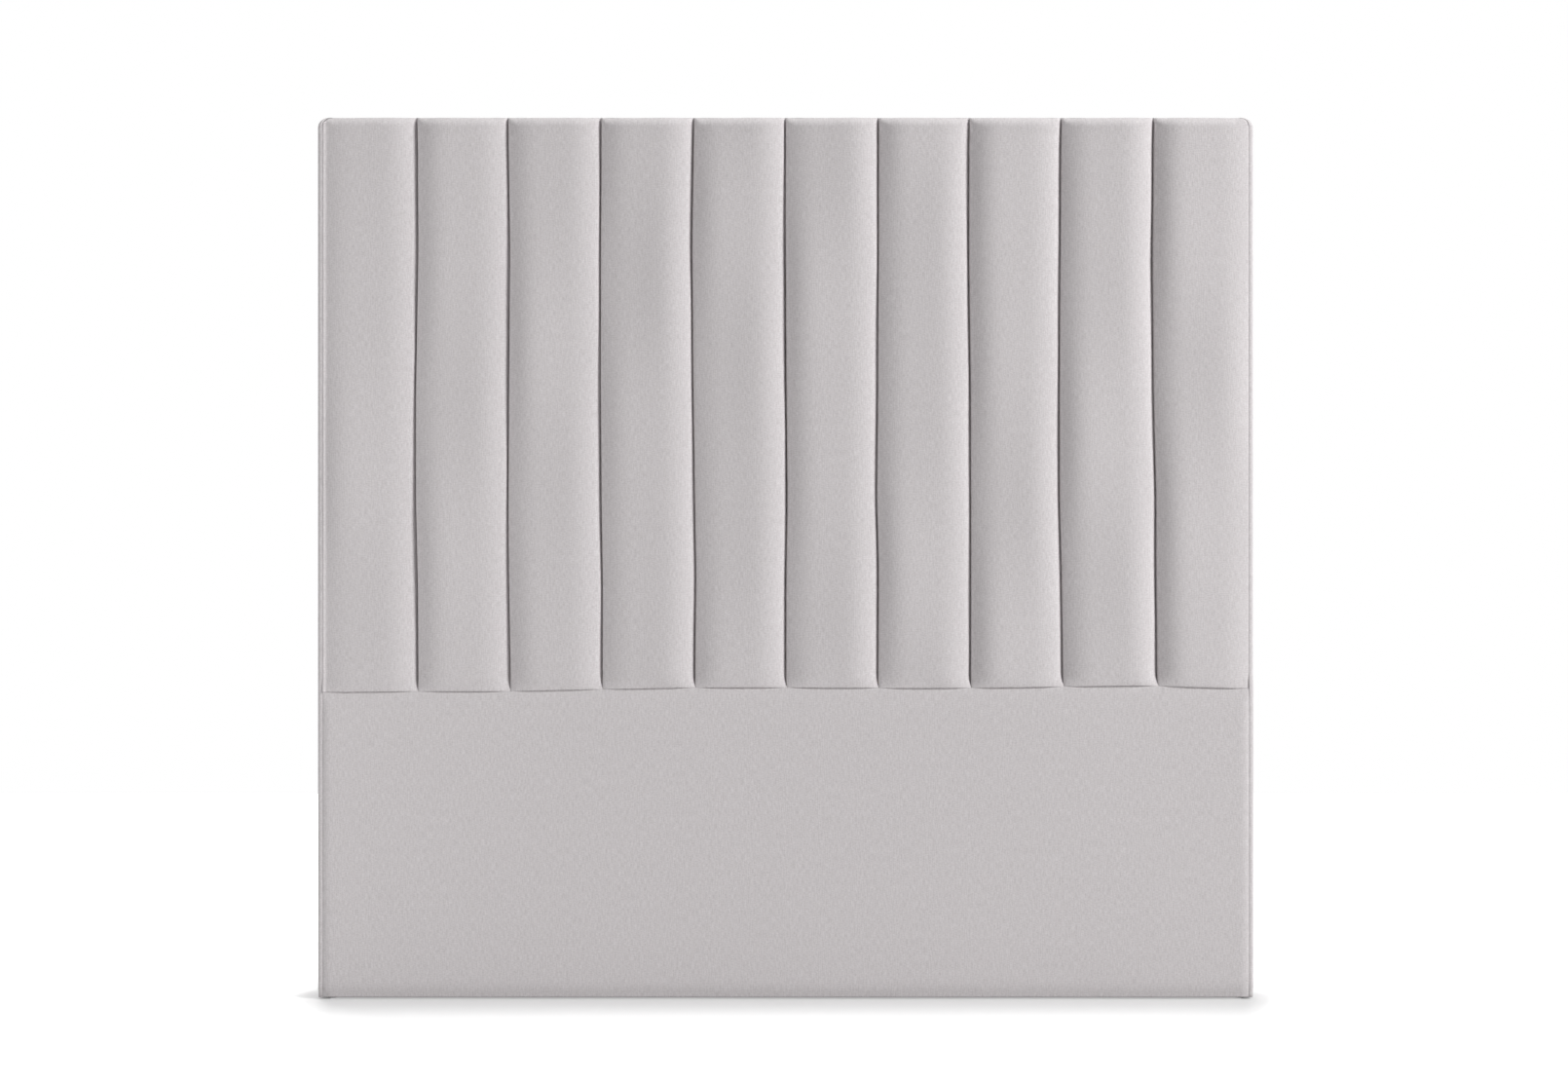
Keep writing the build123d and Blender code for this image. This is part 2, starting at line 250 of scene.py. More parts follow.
@dataclass(frozen=True)
class Finish:
    """A named finish whose pattern is built from shader nodes."""

    name: str

    def material(self) -> bpy.types.Material:
        """Builds the material, unless it is there already.

        Returns:
            The material.
        """
        found = bpy.data.materials.get(self.name)
        if found:
            return found
        made = bpy.data.materials.new(self.name)
        made.use_nodes = True
        made.node_tree.nodes.clear()
        shader = self.pattern(made.node_tree)
        add_node(made.node_tree, "OutputMaterial", {"Surface": shader})
        return made

    def pattern(self, tree: bpy.types.NodeTree) -> bpy.types.NodeSocket:
        """Builds the nodes and gives the shader output."""
        raise NotImplementedError

    def surface(
        self,
        tree: bpy.types.NodeTree,
        shade: bpy.types.NodeSocket,
        colours: tuple[str, str],
        settings: dict[str, float],
        height: bpy.types.NodeSocket | None = None,
        relief: tuple[float, float] = (0.0, 0.0),
        start: float = 0.0,
    ) -> bpy.types.NodeSocket:
        """Ends a pattern with its two colours, its relief and the shader.

        Args:
            tree: The tree that it goes into.
            shade: What leads from the first colour to the second.
            colours: Both colours.
            settings: The shader's even values.
            height: What raises the surface, where it has a relief.
            relief: The relief's strength, and its depth in millimetres.
            start: The shade up to which the first colour stays plain.

        Returns:
            The shader output.
        """
        colour = add_node(tree, "ValToRGB", {"Fac": shade})
        colour.color_ramp.elements[0].position = start
        for stop, code in zip(colour.color_ramp.elements, colours):
            stop.color = hex_colour(code)
        inputs = {"Base Color": colour.outputs[0], **settings}
        if height is not None:
            strength, depth = relief
            bump = {"Height": height, "Strength": strength, "Distance": depth * MM}
            inputs["Normal"] = add_node(tree, "Bump", bump).outputs[0]
        return add_node(tree, "BsdfPrincipled", inputs).outputs[0]


@dataclass(frozen=True)
class WovenPolyesterLinen(Finish):
    """Matt cloth woven from uneven slub yarn: soft pale grey, with short streaks and a faint sheen."""

    low: str = "#BFBABB"
    high: str = "#D3CFD0"
    # Real threads lie 0.5 mm apart, which is too fine to show, so they are drawn 1.6 mm apart
    thread_spacing: float = 1.6
    # Warp slubs stand out more than weft ones: each is its width and length
    warp_slub: tuple[float, float] = (1.7, 13.0)
    weft_slub: tuple[float, float] = (5.5, 1.7)
    relief: tuple[float, float] = (0.35, 0.5)

    def pattern(self, tree: bpy.types.NodeTree) -> bpy.types.NodeSocket:
        """Two sets of threads that cross, each with slubs along it.

        Args:
            tree: The tree that it goes into.

        Returns:
            The shader output.
        """
        cloth = add_node(tree, "UVMap", uv_map=CLOTH_UV).outputs["UV"]
        slubs = []
        for width, length in (self.warp_slub, self.weft_slub):
            scale = (1 / (width * MM), 1 / (length * MM), 1)
            stretched = add_node(tree, "VectorMath", {0: cloth, 1: scale}, operation="MULTIPLY")
            slubs.append(
                add_node(
                    tree, "TexNoise",
                    {"Vector": stretched.outputs[0], "Scale": 1.0, "Detail": 1.5, "Roughness": 0.6},
                    noise_dimensions="2D",
                ).outputs[0]
            )
        # A wave texture repeats each pi / 10 of its scaled place
        wave_scale = math.pi / 10 / (self.thread_spacing * MM)
        threads = [
            add_node(
                tree, "TexWave",
                {"Vector": cloth, "Scale": wave_scale, "Distortion": 0.7, "Detail": 1.0},
                bands_direction=way,
            ).outputs["Fac"]
            for way in ("X", "Y")
        ]
        centred = [add_node(tree, "Math", {0: t, 1: 0.5}, operation="SUBTRACT").outputs[0] for t in threads]
        interlaced = add_node(tree, "Math", {0: centred[0], 1: centred[1]}, operation="MULTIPLY").outputs[0]
        both = add_node(tree, "Math", {0: slubs[0], 1: slubs[1]}, operation="ADD").outputs[0]
        yarn = add_node(
            tree, "Math", {0: interlaced, 1: 0.5, 2: both}, operation="MULTIPLY_ADD"
        ).outputs[0]
        shade = add_node(
            tree, "MapRange",
            {"Value": yarn, "From Min": 0.62, "From Max": 1.38, "To Min": 0.0, "To Max": 1.0},
        ).outputs[0]
        settings = {
            "Roughness": 0.93, "Specular IOR Level": 0.25, "Sheen Weight": 0.12, "Sheen Roughness": 0.6,
        }
        return self.surface(tree, shade, (self.low, self.high), settings, yarn, self.relief)


@dataclass(frozen=True)
class SpunBondedPolypropylene(Finish):
    """Thin black cloth of pressed fibres: flat black with a faint bonded dot pattern."""

    ground: str = "#17171A"
    fibre: str = "#2C2C30"
    dot_spacing: float = 3.0

    def pattern(self, tree: bpy.types.NodeTree) -> bpy.types.NodeSocket:
        """Loose fibres under a pattern of small pressed dots.

        Args:
            tree: The tree that it goes into.

        Returns:
            The shader output.
        """
        place = add_node(tree, "TexCoord").outputs["Object"]
        fibres = add_node(
            tree, "TexNoise",
            {"Vector": place, "Scale": 1 / (1.8 * MM), "Detail": 4.0, "Roughness": 0.7, "Distortion": 1.2},
        ).outputs[0]
        dots = add_node(
            tree, "TexVoronoi",
            {"Vector": place, "Scale": 1 / (self.dot_spacing * MM), "Randomness": 0.15},
        ).outputs[0]
        height = add_node(tree, "Math", {0: dots, 1: fibres}, operation="ADD").outputs[0]
        settings = {"Roughness": 0.8, "Specular IOR Level": 0.35}
        return self.surface(tree, fibres, (self.ground, self.fibre), settings, height, (0.3, 0.2))


@dataclass(frozen=True)
class PlanedPine(Finish):
    """Softwood planed smooth: straw yellow with darker late-wood lines along each piece."""

    grain: Grain = Grain.ALONG_Z
    early: str = "#DFC391"
    late: str = "#B98A52"
    ring_spacing: float = 5.0

    def pattern(self, tree: bpy.types.NodeTree) -> bpy.types.NodeSocket:
        """Growth rings stretched along the grain, and fine fibre over them.

        Args:
            tree: The tree that it goes into.

        Returns:
            The shader output.
        """
        place = add_node(tree, "TexCoord").outputs["Object"]
        squeeze = [1.0, 1.0, 1.0]
        squeeze[self.grain.value] = 0.06
        stretched = add_node(
            tree, "VectorMath", {0: place, 1: tuple(squeeze)}, operation="MULTIPLY"
        ).outputs[0]
        bend = add_node(
            tree, "TexNoise", {"Vector": stretched, "Scale": 1 / (60 * MM), "Detail": 2.0}
        ).outputs[0]
        rings = add_node(
            tree, "TexWave",
            {
                "Vector": stretched, "Scale": math.pi / 10 / (self.ring_spacing * MM),
                "Distortion": 6.0, "Detail": 2.0, "Detail Scale": 0.4, "Phase Offset": bend,
            },
            bands_direction="Y", wave_profile="SAW",
        ).outputs["Fac"]
        fibre = add_node(
            tree, "TexNoise", {"Vector": stretched, "Scale": 1 / (1.2 * MM), "Detail": 2.0}
        ).outputs[0]
        mixed = add_node(
            tree, "Math", {0: fibre, 1: 0.35, 2: rings}, operation="MULTIPLY_ADD"
        ).outputs[0]
        colours = (self.early, self.late)
        return self.surface(tree, mixed, colours, {"Roughness": 0.6}, mixed, (0.15, 0.3), start=0.25)


@dataclass(frozen=True)
class BirchPlywood(Finish):
    """Rotary-cut veneer, sanded: pale cream faces with wide soft figure and layered edges."""

    pale: str = "#DCC59B"
    dark: str = "#BE9D6C"
    layer: float = 1.5

    def pattern(self, tree: bpy.types.NodeTree) -> bpy.types.NodeSocket:
        """Wide figure on the faces and thin layers through the thickness.

        Args:
            tree: The tree that it goes into.

        Returns:
            The shader output.
        """
        place = add_node(tree, "TexCoord").outputs["Object"]
        stretched = add_node(
            tree, "VectorMath", {0: place, 1: (0.12, 1.0, 1.0)}, operation="MULTIPLY"
        ).outputs[0]
        figure = add_node(
            tree, "TexNoise",
            {"Vector": stretched, "Scale": 1 / (14 * MM), "Detail": 5.0, "Distortion": 0.8},
        ).outputs[0]
        layers = add_node(
            tree, "TexWave", {"Vector": place, "Scale": math.pi / 10 / (2 * self.layer * MM)},
            bands_direction="Y",
        ).outputs["Fac"]
        mixed = add_node(
            tree, "Math", {0: layers, 1: 0.3, 2: figure}, operation="MULTIPLY_ADD"
        ).outputs[0]
        return self.surface(tree, mixed, (self.pale, self.dark), {"Roughness": 0.65}, start=0.35)


@dataclass(frozen=True)
class CloudedFinish(Finish):
    """Clouds or specks of one size that lead from a dark colour to a pale one, with a slight relief."""

    dark: str
    pale: str
    # How large a cloud is, and how finely it breaks up
    cloud: float
    detail: float
    relief: tuple[float, float]
    roughness: float

    def pattern(self, tree: bpy.types.NodeTree) -> bpy.types.NodeSocket:
        """Clouds of the finish's own size.

        Args:
            tree: The tree that it goes into.

        Returns:
            The shader output.
        """
        place = add_node(tree, "TexCoord").outputs["Object"]
        clouds = add_node(
            tree, "TexNoise", {"Vector": place, "Scale": 1 / (self.cloud * MM), "Detail": self.detail}
        ).outputs[0]
        settings = {"Roughness": self.roughness, **self.substance()}
        return self.surface(tree, clouds, (self.dark, self.pale), settings, clouds, self.relief)

    def substance(self) -> dict[str, float]:
        """What else the shader is told about the substance."""
        return {}


@dataclass(frozen=True)
class PressedCard(CloudedFinish):
    """Grey-brown card pressed from pulp: dull, with specks of fibre."""

    dark: str = "#8F8168"
    pale: str = "#B9AC93"
    cloud: float = 1.5
    detail: float = 4.0
    relief: tuple[float, float] = (0.2, 0.2)
    roughness: float = 0.9


@dataclass(frozen=True)
class ZincPlatedSteel(CloudedFinish):
    """Drawn or turned steel under thin zinc: bluish grey metal, clouded where the zinc has dulled."""

    dark: str = "#9B9EA0"
    pale: str = "#C6C8C9"
    cloud: float = 3.0
    detail: float = 3.0
    relief: tuple[float, float] = (0.1, 0.1)
    roughness: float = 0.38

    def substance(self) -> dict[str, float]:
        """A bare metal."""
        return {"Metallic": 1.0}


@dataclass(frozen=True)
class MouldedNylon(CloudedFinish):
    """Black nylon from a mould: a soft even gloss, and a fine spark-eroded grain with paler scuffs."""

    dark: str = "#232222"
    pale: str = "#3A3838"
    cloud: float = 0.8
    detail: float = 3.0
    relief: tuple[float, float] = (0.15, 0.1)
    roughness: float = 0.5

    def substance(self) -> dict[str, float]:
        """How strongly nylon bends light."""
        return {"IOR": 1.53}


COVER = WovenPolyesterLinen("woven_polyester_linen")


# Padded front


@dataclass
class SeamLines:
    """The nine upright channel seams and the cross seam, which sway a little as hand sewing does."""

    heights: tuple[float, ...] = (528.0, 553.0, 720.0, 850.0, 1050.0, 1280.0, 1480.0, 1500.0)
    # How far each seam stands to the right of its even place, at those heights
    sways: tuple[tuple[float, ...], ...] = (
        (0, 0, 0, 0, 0, 0, 0, 0),
        (3, 3, 2, -1, -1, 3, 2, 1),
        (3, 3, 0, -1, 0, 2, -1, -1),
        (2, 2, 2, 0, -1, -1, 0, 0),
        (2, 2, 4, 2, -1, -3, 0, 1),
        (0, 0, 0, 2, 0, -1, -1, -1),
        (-1, -1, 0, -3, -1, 0, 0, 0),
        (-1, -1, 0, 0, -1, -4, -3, -2),
        (-1, -1, -3, -7, -7, -5, -4, -3),
        (2, 2, 0, 0, -4, -6, -4, -3),
        (0, 0, 0, 0, 0, 0, 0, 0),
    )
    cross_places: tuple[float, ...] = (-787, -630, -470, -370, -150, 0, 150, 320, 470, 570, 630, 690, 787)
    cross_rises: tuple[float, ...] = (-2, -0.5, -0.5, 2, 6, 6, 5, 5, 7.5, 9, 9, 6.5, 4)
    # How far an upright seam's foot turns to the right, and over what height
    hook: float = 2.2
    hook_height: float = 6.0

    def upright(self, number: int, height: np.ndarray) -> np.ndarray:
        """Where one channel seam runs.

        Args:
            number: 0 for the left boxing seam to 10 for the right one.
            height: Heights above the floor.

        Returns:
            The seam's place across at each height.
        """
        even = HALF_FRAME * (2 * number / CHANNELS - 1)
        hook = self.hook if 0 < number < CHANNELS else 0
        hooked = hook * np.exp(-np.abs(height - CROSS_SEAM) / self.hook_height)
        return even + smooth_line(self.heights, self.sways[number], height) + hooked

    def cross(self, across: np.ndarray) -> np.ndarray:
        """The cross seam's height at places across."""
        return CROSS_SEAM - 4 + smooth_line(self.cross_places, self.cross_rises, across)


def smooth_line(places: tuple[float, ...], values: tuple[float, ...], at: np.ndarray) -> np.ndarray:
    """Reads a line through given points, with its corners rounded by averaging.

    Args:
        places: Where the points are, rising.
        values: Their values.
        at: Where it is read.

    Returns:
        The rounded line's values.
    """
    # Nine readings, up to a fortieth of the whole line to either side
    reach = (places[-1] - places[0]) / 40
    steps = np.linspace(-reach, reach, 9)
    return sum(np.interp(at + step, places, values) for step in steps) / len(steps)


@dataclass
class ClothRows:
    """Rows of points on a cloth surface, and the flat cloth places of the same points."""

    points: list[np.ndarray] = field(default_factory=list)
    flat: list[np.ndarray] = field(default_factory=list)

    def add(
        self, x: np.ndarray, y: np.ndarray | float, z: np.ndarray | float, reach: np.ndarray | float
    ) -> None:
        """Adds one row.

        Args:
            x: Places across, on the piece and on the flat cloth.
            y: Depths.
            z: Heights above the floor.
            reach: Heights on the flat cloth.
        """
        self.points.append(np.stack(np.broadcast_arrays(x, y, z), axis=1))
        self.flat.append(np.stack(np.broadcast_arrays(x, reach), axis=1))

    def arrays(self) -> tuple[np.ndarray, np.ndarray]:
        """All rows of points, and all rows of flat places."""
        return np.array(self.points), np.array(self.flat)


@dataclass
class StuffedShape:
    """Heights of a stuffed surface above the face board."""

    crown: float
    seam: float
    shoulder: float
    crease_depth: float = 6.5
    crease_width: float = 1.5
    # How sharply the crease bends, and how steeply the crown falls towards the seam
    crease_curve: float = 1.3
    fullness: float = 2.6

    def rise(self, from_seam: np.ndarray) -> np.ndarray:
        """The share of the full height at a distance from the seam."""
        share = np.clip(from_seam / self.shoulder, 0, 1)
        return 1 - (1 - share) ** self.fullness

    def crease(self, from_seam: np.ndarray, width: float | np.ndarray) -> np.ndarray:
        """How far the cloth dips into the seam itself, over about the width given."""
        return self.crease_depth * np.exp(-((from_seam / width) ** self.crease_curve))


@dataclass(frozen=True)
class Stuffing:
    """Swells a closed cloth form by air pressure, as stuffing does, while the sewn edges hold."""

    pressure: float = 4.0
    frames: int = 20
    stretch: float = 15.0
    shear: float = 5.0
    bending: float = 0.5
    limit: float = 4.5

    def swell(self, form: bpy.types.Object, held: np.ndarray) -> np.ndarray:
        """Runs the cloth simulation on a form, reads its result and removes the form.

        Args:
            form: A closed mesh in its slack shape.
            held: True for each point that the sewing holds in place.

        Returns:
            How far each point moved, in millimetres and never past the limit.
        """
        group = form.vertex_groups.new(name="held")
        group.add([int(k) for k in np.flatnonzero(held)], 1.0, "REPLACE")
        cloth = form.modifiers.new("stuffing", "CLOTH").settings
        cloth.vertex_group_mass = group.name
        cloth.use_pressure = True
        cloth.uniform_pressure_force = self.pressure
        cloth.effector_weights.gravity = 0
        cloth.tension_stiffness = cloth.compression_stiffness = self.stretch
        cloth.shear_stiffness = self.shear
        cloth.bending_stiffness = self.bending
        for step in range(1, self.frames + 1):
            bpy.context.scene.frame_set(step)
        swollen = form.evaluated_get(bpy.context.evaluated_depsgraph_get()).data
        moved = (mesh_points(swollen) - mesh_points(form.data)) / MM
        bpy.context.scene.frame_set(1)
        slack = form.data
        bpy.data.objects.remove(form)
        bpy.data.meshes.remove(slack)
        reach = np.maximum(np.linalg.norm(moved, axis=1, keepdims=True), 1 / FAR)
        return moved * np.tanh(reach / self.limit) * self.limit / reach


@dataclass
class ChannelPads:
    """Ten upright stuffed channels, each one sewn cover over its own foam strip."""

    seams: SeamLines
    stuffing: Stuffing = Stuffing()
    shape: StuffedShape = field(default_factory=lambda: StuffedShape(crown=27.8, seam=10, shoulder=57))
    # How far the crown starts below its stuffed height, before the stuffing swells it
    slack: float = 2.4
    held_edge: float = 7.0
    form_columns: int = 24
    form_rows: int = 90
    gap: float = 0.25
    edge_gap: float = 0.05
    columns: int = 46
    # How strongly the columns crowd towards both seams
    crowding: float = 1.7
    face_rows: int = 170
    roll_rows: int = 8
    top_rows: int = 4
    roll: float = 17.0
    corner: float = 16.0
    corner_roll: float = 4.0
    corner_reach: float = 22.0
    left_seam: float = 15.5
    right_seam: float = 15.0
    lip_height: float = 5.0
    lip_width: float = 4.0
    foot_crown: float = 23.5
    foot_seam: float = 18.0
    foot_length: float = 24.0
    back_gap: float = 0.4
    # How much lower the crown is beside the seams than in the middle
    crown_fall: float = 0.8
    # How far the top edge sinks between two seams, and within what distance of them
    peak: float = 1.1
    peak_reach: float = 18.0
    # Depth and reach of the dip along the stitches at the foot, and at the left and right boxing
    foot_dip: tuple[float, float] = (0.8, 0.9)
    left_dip: tuple[float, float] = (0.8, 0.7)
    right_dip: tuple[float, float] = (0.3, 0.7)
    # How wide the cloth tucks under at a seam, on the side that faces the light
    tuck: float = 4.6
    # Over what height an upright seam fades out at the top
    seam_end: float = 8.0
    fill: float = 0.8
    # How much thicker the foam lies on the left of each channel than on its right
    leans: tuple[float, ...] = (0.0, -0.3, -0.3, -2.4, -2.4, -0.5, -0.8, 0.0, -0.5, 0.5)

    def build(self) -> list[bpy.types.Object]:
        """Builds all ten pads, from left to right."""
        return [self.pad(number) for number in range(CHANNELS)]

    def spread_columns(self, count: int) -> np.ndarray:
        """Spreads columns across a pad, closer together near both seams.

        Args:
            count: How many columns there are.

        Returns:
            Their shares of the width, from 0 to 1.
        """
        even = np.linspace(-1, 1, count)
        crowded = np.sign(even) * (1 - (1 - np.abs(even)) ** self.crowding)
        return (crowded + 1) / 2

    def pad(self, number: int) -> bpy.types.Object:
        """Builds one pad as a closed mesh: face, rolled top, walls in the seams and flat back.

        Args:
            number: 0 for the leftmost channel to 9 for the rightmost.

        Returns:
            The pad, riding.
        """
        across = self.spread_columns(self.columns)
        # Rows close to the cross seam keep the turn into it sharp
        up = np.concatenate([
            (0, 0.0002, 0.0009, 0.002), np.linspace(0.004, 0.05, 13)[:-1],
            np.linspace(0.05, 0.97, self.face_rows), np.linspace(0.97, 1, 6)[1:],
        ])
        face, cloth = self.face_and_roll(number, across, up, sewn=True)
        face[: len(up)] += self.swelling(number, across, up)
        piece = close_pad(f"channel_pad_{number + 1:02d}", face, cloth, BOARD_FRONT - self.back_gap)
        return self.dress(piece, number)

    def swelling(self, number: int, across: np.ndarray, up: np.ndarray) -> np.ndarray:
        """How far the stuffing moves each point of a pad's face, simulated on a coarser form.

        Args:
            number: The channel's number.
            across: Shares from the left seam to the right one.
            up: Shares of the height.

        Returns:
            Rows and columns of moves in millimetres.
        """
        form_across, form_up = self.spread_columns(self.form_columns), np.linspace(0, 1, self.form_rows)
        face, cloth = self.face_and_roll(number, form_across, form_up, sewn=False)
        x, z = face[..., 0], face[..., 2]
        beside = np.minimum(x - x[:, :1], x[:, -1:] - x)
        held = (beside < self.held_edge) | (z - z[0] < self.held_edge)
        held[len(form_up) :] = True
        form = close_pad(f"stuffing_form_{number}", face, cloth, BOARD_FRONT - self.back_gap)
        moved = self.stuffing.swell(form, np.pad(held, 1, constant_values=True).ravel())
        rows, columns = held.shape
        moved = moved.reshape(rows + 2, columns + 2, 3)[1 : len(form_up) + 1, 1:-1]
        wide = np.array([[np.interp(across, form_across, row[:, k]) for k in range(3)] for row in moved])
        tall = [[np.interp(up, form_up, wide[:, k, c]) for k in range(3)] for c in range(len(across))]
        return softened(np.array(tall).transpose(2, 0, 1))

    def face_and_roll(
        self, number: int, across: np.ndarray, up: np.ndarray, sewn: bool
    ) -> tuple[np.ndarray, np.ndarray]:
        """A pad's face, its roll over the top and the flat behind that.

        Args:
            number: The channel's number.
            across: Shares from the left seam to the right one.
            up: Shares of the face's height.
            sewn: Whether the seams are drawn in already.

        Returns:
            Rows of points, and the flat cloth places of the same points.
        """
        rows = ClothRows()
        for share in up:
            x, z, rise, radius = self.face_row(number, across, share, sewn)
            rows.add(x, BOARD_FRONT - rise, z, z)
        for turn in np.linspace(0, math.pi / 2, self.roll_rows + 1)[1:]:
            depth = rise - radius + radius * math.cos(turn)
            rows.add(x, BOARD_FRONT - depth, z + radius * math.sin(turn), z + radius * turn)
        for share in np.linspace(0, 1, self.top_rows + 1)[1:]:
            depth = (rise - radius) * (1 - share) + self.back_gap * share
            reach = z + radius * math.pi / 2 + (rise - radius) * share
            rows.add(x, BOARD_FRONT - depth, z + radius, reach)
        return rows.arrays()

    def roll_radius(self, rise: np.ndarray, outer: np.ndarray) -> np.ndarray:
        """The radius over the top edge: less where a seam or the corner draws the cloth in."""
        radius = np.minimum(self.roll, np.maximum(rise - 3, 1))
        return self.corner_roll + (radius - self.corner_roll) * eased(outer / self.corner_reach)

    def corner_drop(self, outer: np.ndarray) -> np.ndarray:
        """How far the rounded top corner lies below the top, by the distance from the boxing."""
        bend = self.corner - np.clip(outer, 0, self.corner)
        return self.corner - np.sqrt(self.corner**2 - bend**2)

    def lean(self, number: int, z: np.ndarray) -> np.ndarray:
        """How much thicker the foam lies on a channel's left than on its right, at each height."""
        uneven = waves(z, [(1.5, 760, 0.37 * number), (0.8, 410, 0.23 * number + 0.1)])
        return self.leans[number] + uneven

    def face_row(
        self, number: int, across: np.ndarray, share: float, sewn: bool
    ) -> tuple[np.ndarray, np.ndarray, np.ndarray, np.ndarray]:
        """One level row of a pad's face.

        Args:
            number: The channel's number.
            across: Shares from the left seam to the right one.
            share: The row's share of the height, from the cross seam to the top roll.
            sewn: Whether the seams are drawn in already.

        Returns:
            The row's places across, heights and rises off the board, and its radius over the top.
        """
        level = np.array(CROSS_SEAM + (TOP - CROSS_SEAM) * share)
        first, final = number == 0, number == CHANNELS - 1
        left = self.seams.upright(number, level) + (self.edge_gap if first else self.gap)
        right = self.seams.upright(number + 1, level) - (self.edge_gap if final else self.gap)
        x = left + (right - left) * across
        from_left, from_right = x - left, right - x
        nearest = np.minimum(from_left, from_right)
        outer = from_left if first else from_right if final else np.full_like(x, FAR)
        drawn = from_right if first else from_left if final else nearest
        foot = self.seams.cross(x) + self.edge_gap
        half = (right - left) / 2
        sideways = (from_left - half) / half
        crown = self.shape.crown - self.slack - self.crown_fall * sideways**2
        rise = crown
        seam_left = self.left_seam if first else self.shape.seam
        seam_right = self.right_seam if final else self.shape.seam
        for edge, distance in ((seam_left, from_left), (seam_right, from_right)):
            rise = rise - (crown - edge) * (1 - self.shape.rise(distance))
        top = TOP - self.peak * (1 - np.exp(-drawn / self.peak_reach)) - self.corner_drop(outer)
        radius = self.roll_radius(rise, outer)
        z = foot + (top - radius - foot) * share
        # The foam's lean has its greatest height, 1 mm for each 1 mm of lean, six tenths of the way out
        rise = rise - self.lean(number, z) * 2.6 * sideways * (1 - sideways**2)
        above_foot = z - foot
        swell = 1 - (1 - np.clip(above_foot / self.foot_length, 0, 1)) ** 2
        foot_rise = self.foot_seam + (self.foot_crown - self.foot_seam) * self.shape.rise(nearest)
        rise = foot_rise + (rise - foot_rise) * swell
        if sewn:
            strength = swell * eased((top - z) / self.seam_end + 0.4)
            rise = rise + self.sewing(number, z, from_left, from_right, strength)
            rise = rise - stitch_dip(above_foot, *self.foot_dip)
        return x, z, rise, radius

    def sewing(
        self, number: int, z: np.ndarray, from_left: np.ndarray, from_right: np.ndarray, strength: np.ndarray
    ) -> np.ndarray:
        """How the upright seams draw the cloth in, and how the first pad's lip stands up at the boxing.

        Args:
            number: The channel's number.
            z: Heights above the floor.
            from_left: Distances from the left seam.
            from_right: Distances from the right seam.
            strength: The share of its full depth that a seam has there.

        Returns:
            What is added to the rise.
        """
        change = np.zeros_like(z)
        if number > 0:
            change -= self.shape.crease(from_left, self.shape.crease_width) * strength
        else:
            change += self.lip_height * np.exp(-((from_left / self.lip_width) ** 4))
            change -= stitch_dip(from_left, *self.left_dip)
        if number < CHANNELS - 1:
            # The cloth tucks under more in some places than in others
            uneven = waves(z + 130 * number, [(1.6, 620, 0.1 * number), (0.9, 230, 0.3 * number)])
            change -= self.shape.crease(from_right, self.tuck + uneven) * strength
        else:
            change -= stitch_dip(from_right, *self.right_dip)
        return change

    def dress(self, piece: bpy.types.Object, number: int) -> bpy.types.Object:
        """Gives a pad its cloth and its body, and hides the imported nodes that it stands for.

        Args:
            piece: The pad.
            number: 0 for the leftmost channel to 9 for the rightmost.

        Returns:
            The same pad.
        """
        piece.data.materials.append(COVER.material())
        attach(piece, ROOT)
        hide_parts(f"channel_cover_{number + 1:02d}", f"channel_foam_{number + 1:02d}")
        return piece


def close_pad(name: str, face: np.ndarray, cloth: np.ndarray, back: float) -> bpy.types.Object:
    """Closes a grid of rows with walls and a flat back.

    Args:
        name: The piece's name.
        face: The face's rows of points.
        cloth: Flat cloth places of the same points.
        back: The depth of the flat back.

    Returns:
        The closed piece.
    """
    rim = ((1, 1), (1, 1), (0, 0))
    walled = np.pad(face, rim, mode="edge")
    spread = np.pad(cloth, rim, mode="edge")
    depth = np.abs(back - walled[:, :, 1])
    walled[[0, -1], :, 1] = back
    walled[:, [0, -1], 1] = back
    spread[0, :, 1] -= depth[0]
    spread[-1, :, 1] += depth[-1]
    spread[:, 0, 0] -= depth[:, 0]
    spread[:, -1, 0] += depth[:, -1]
    count_rows, count_columns = walled.shape[:2]
    faces = grid_quads(count_rows, count_columns)
    last = (count_rows - 1) * count_columns
    first_row = [*range(count_columns), 2 * count_columns - 1, count_columns]
    last_row = [*range(last, last + count_columns), last - 1, last - count_columns]
    faces.append(tuple(reversed(first_row)))
    faces.append(tuple(last_row))
    for r in range(1, count_rows - 2):
        a, b = r * count_columns, (r + 1) * count_columns
        faces.append((a, b, b + count_columns - 1, b - 1))
    return make_piece(name, walled.reshape(-1, 3), faces, spread.reshape(-1, 2))


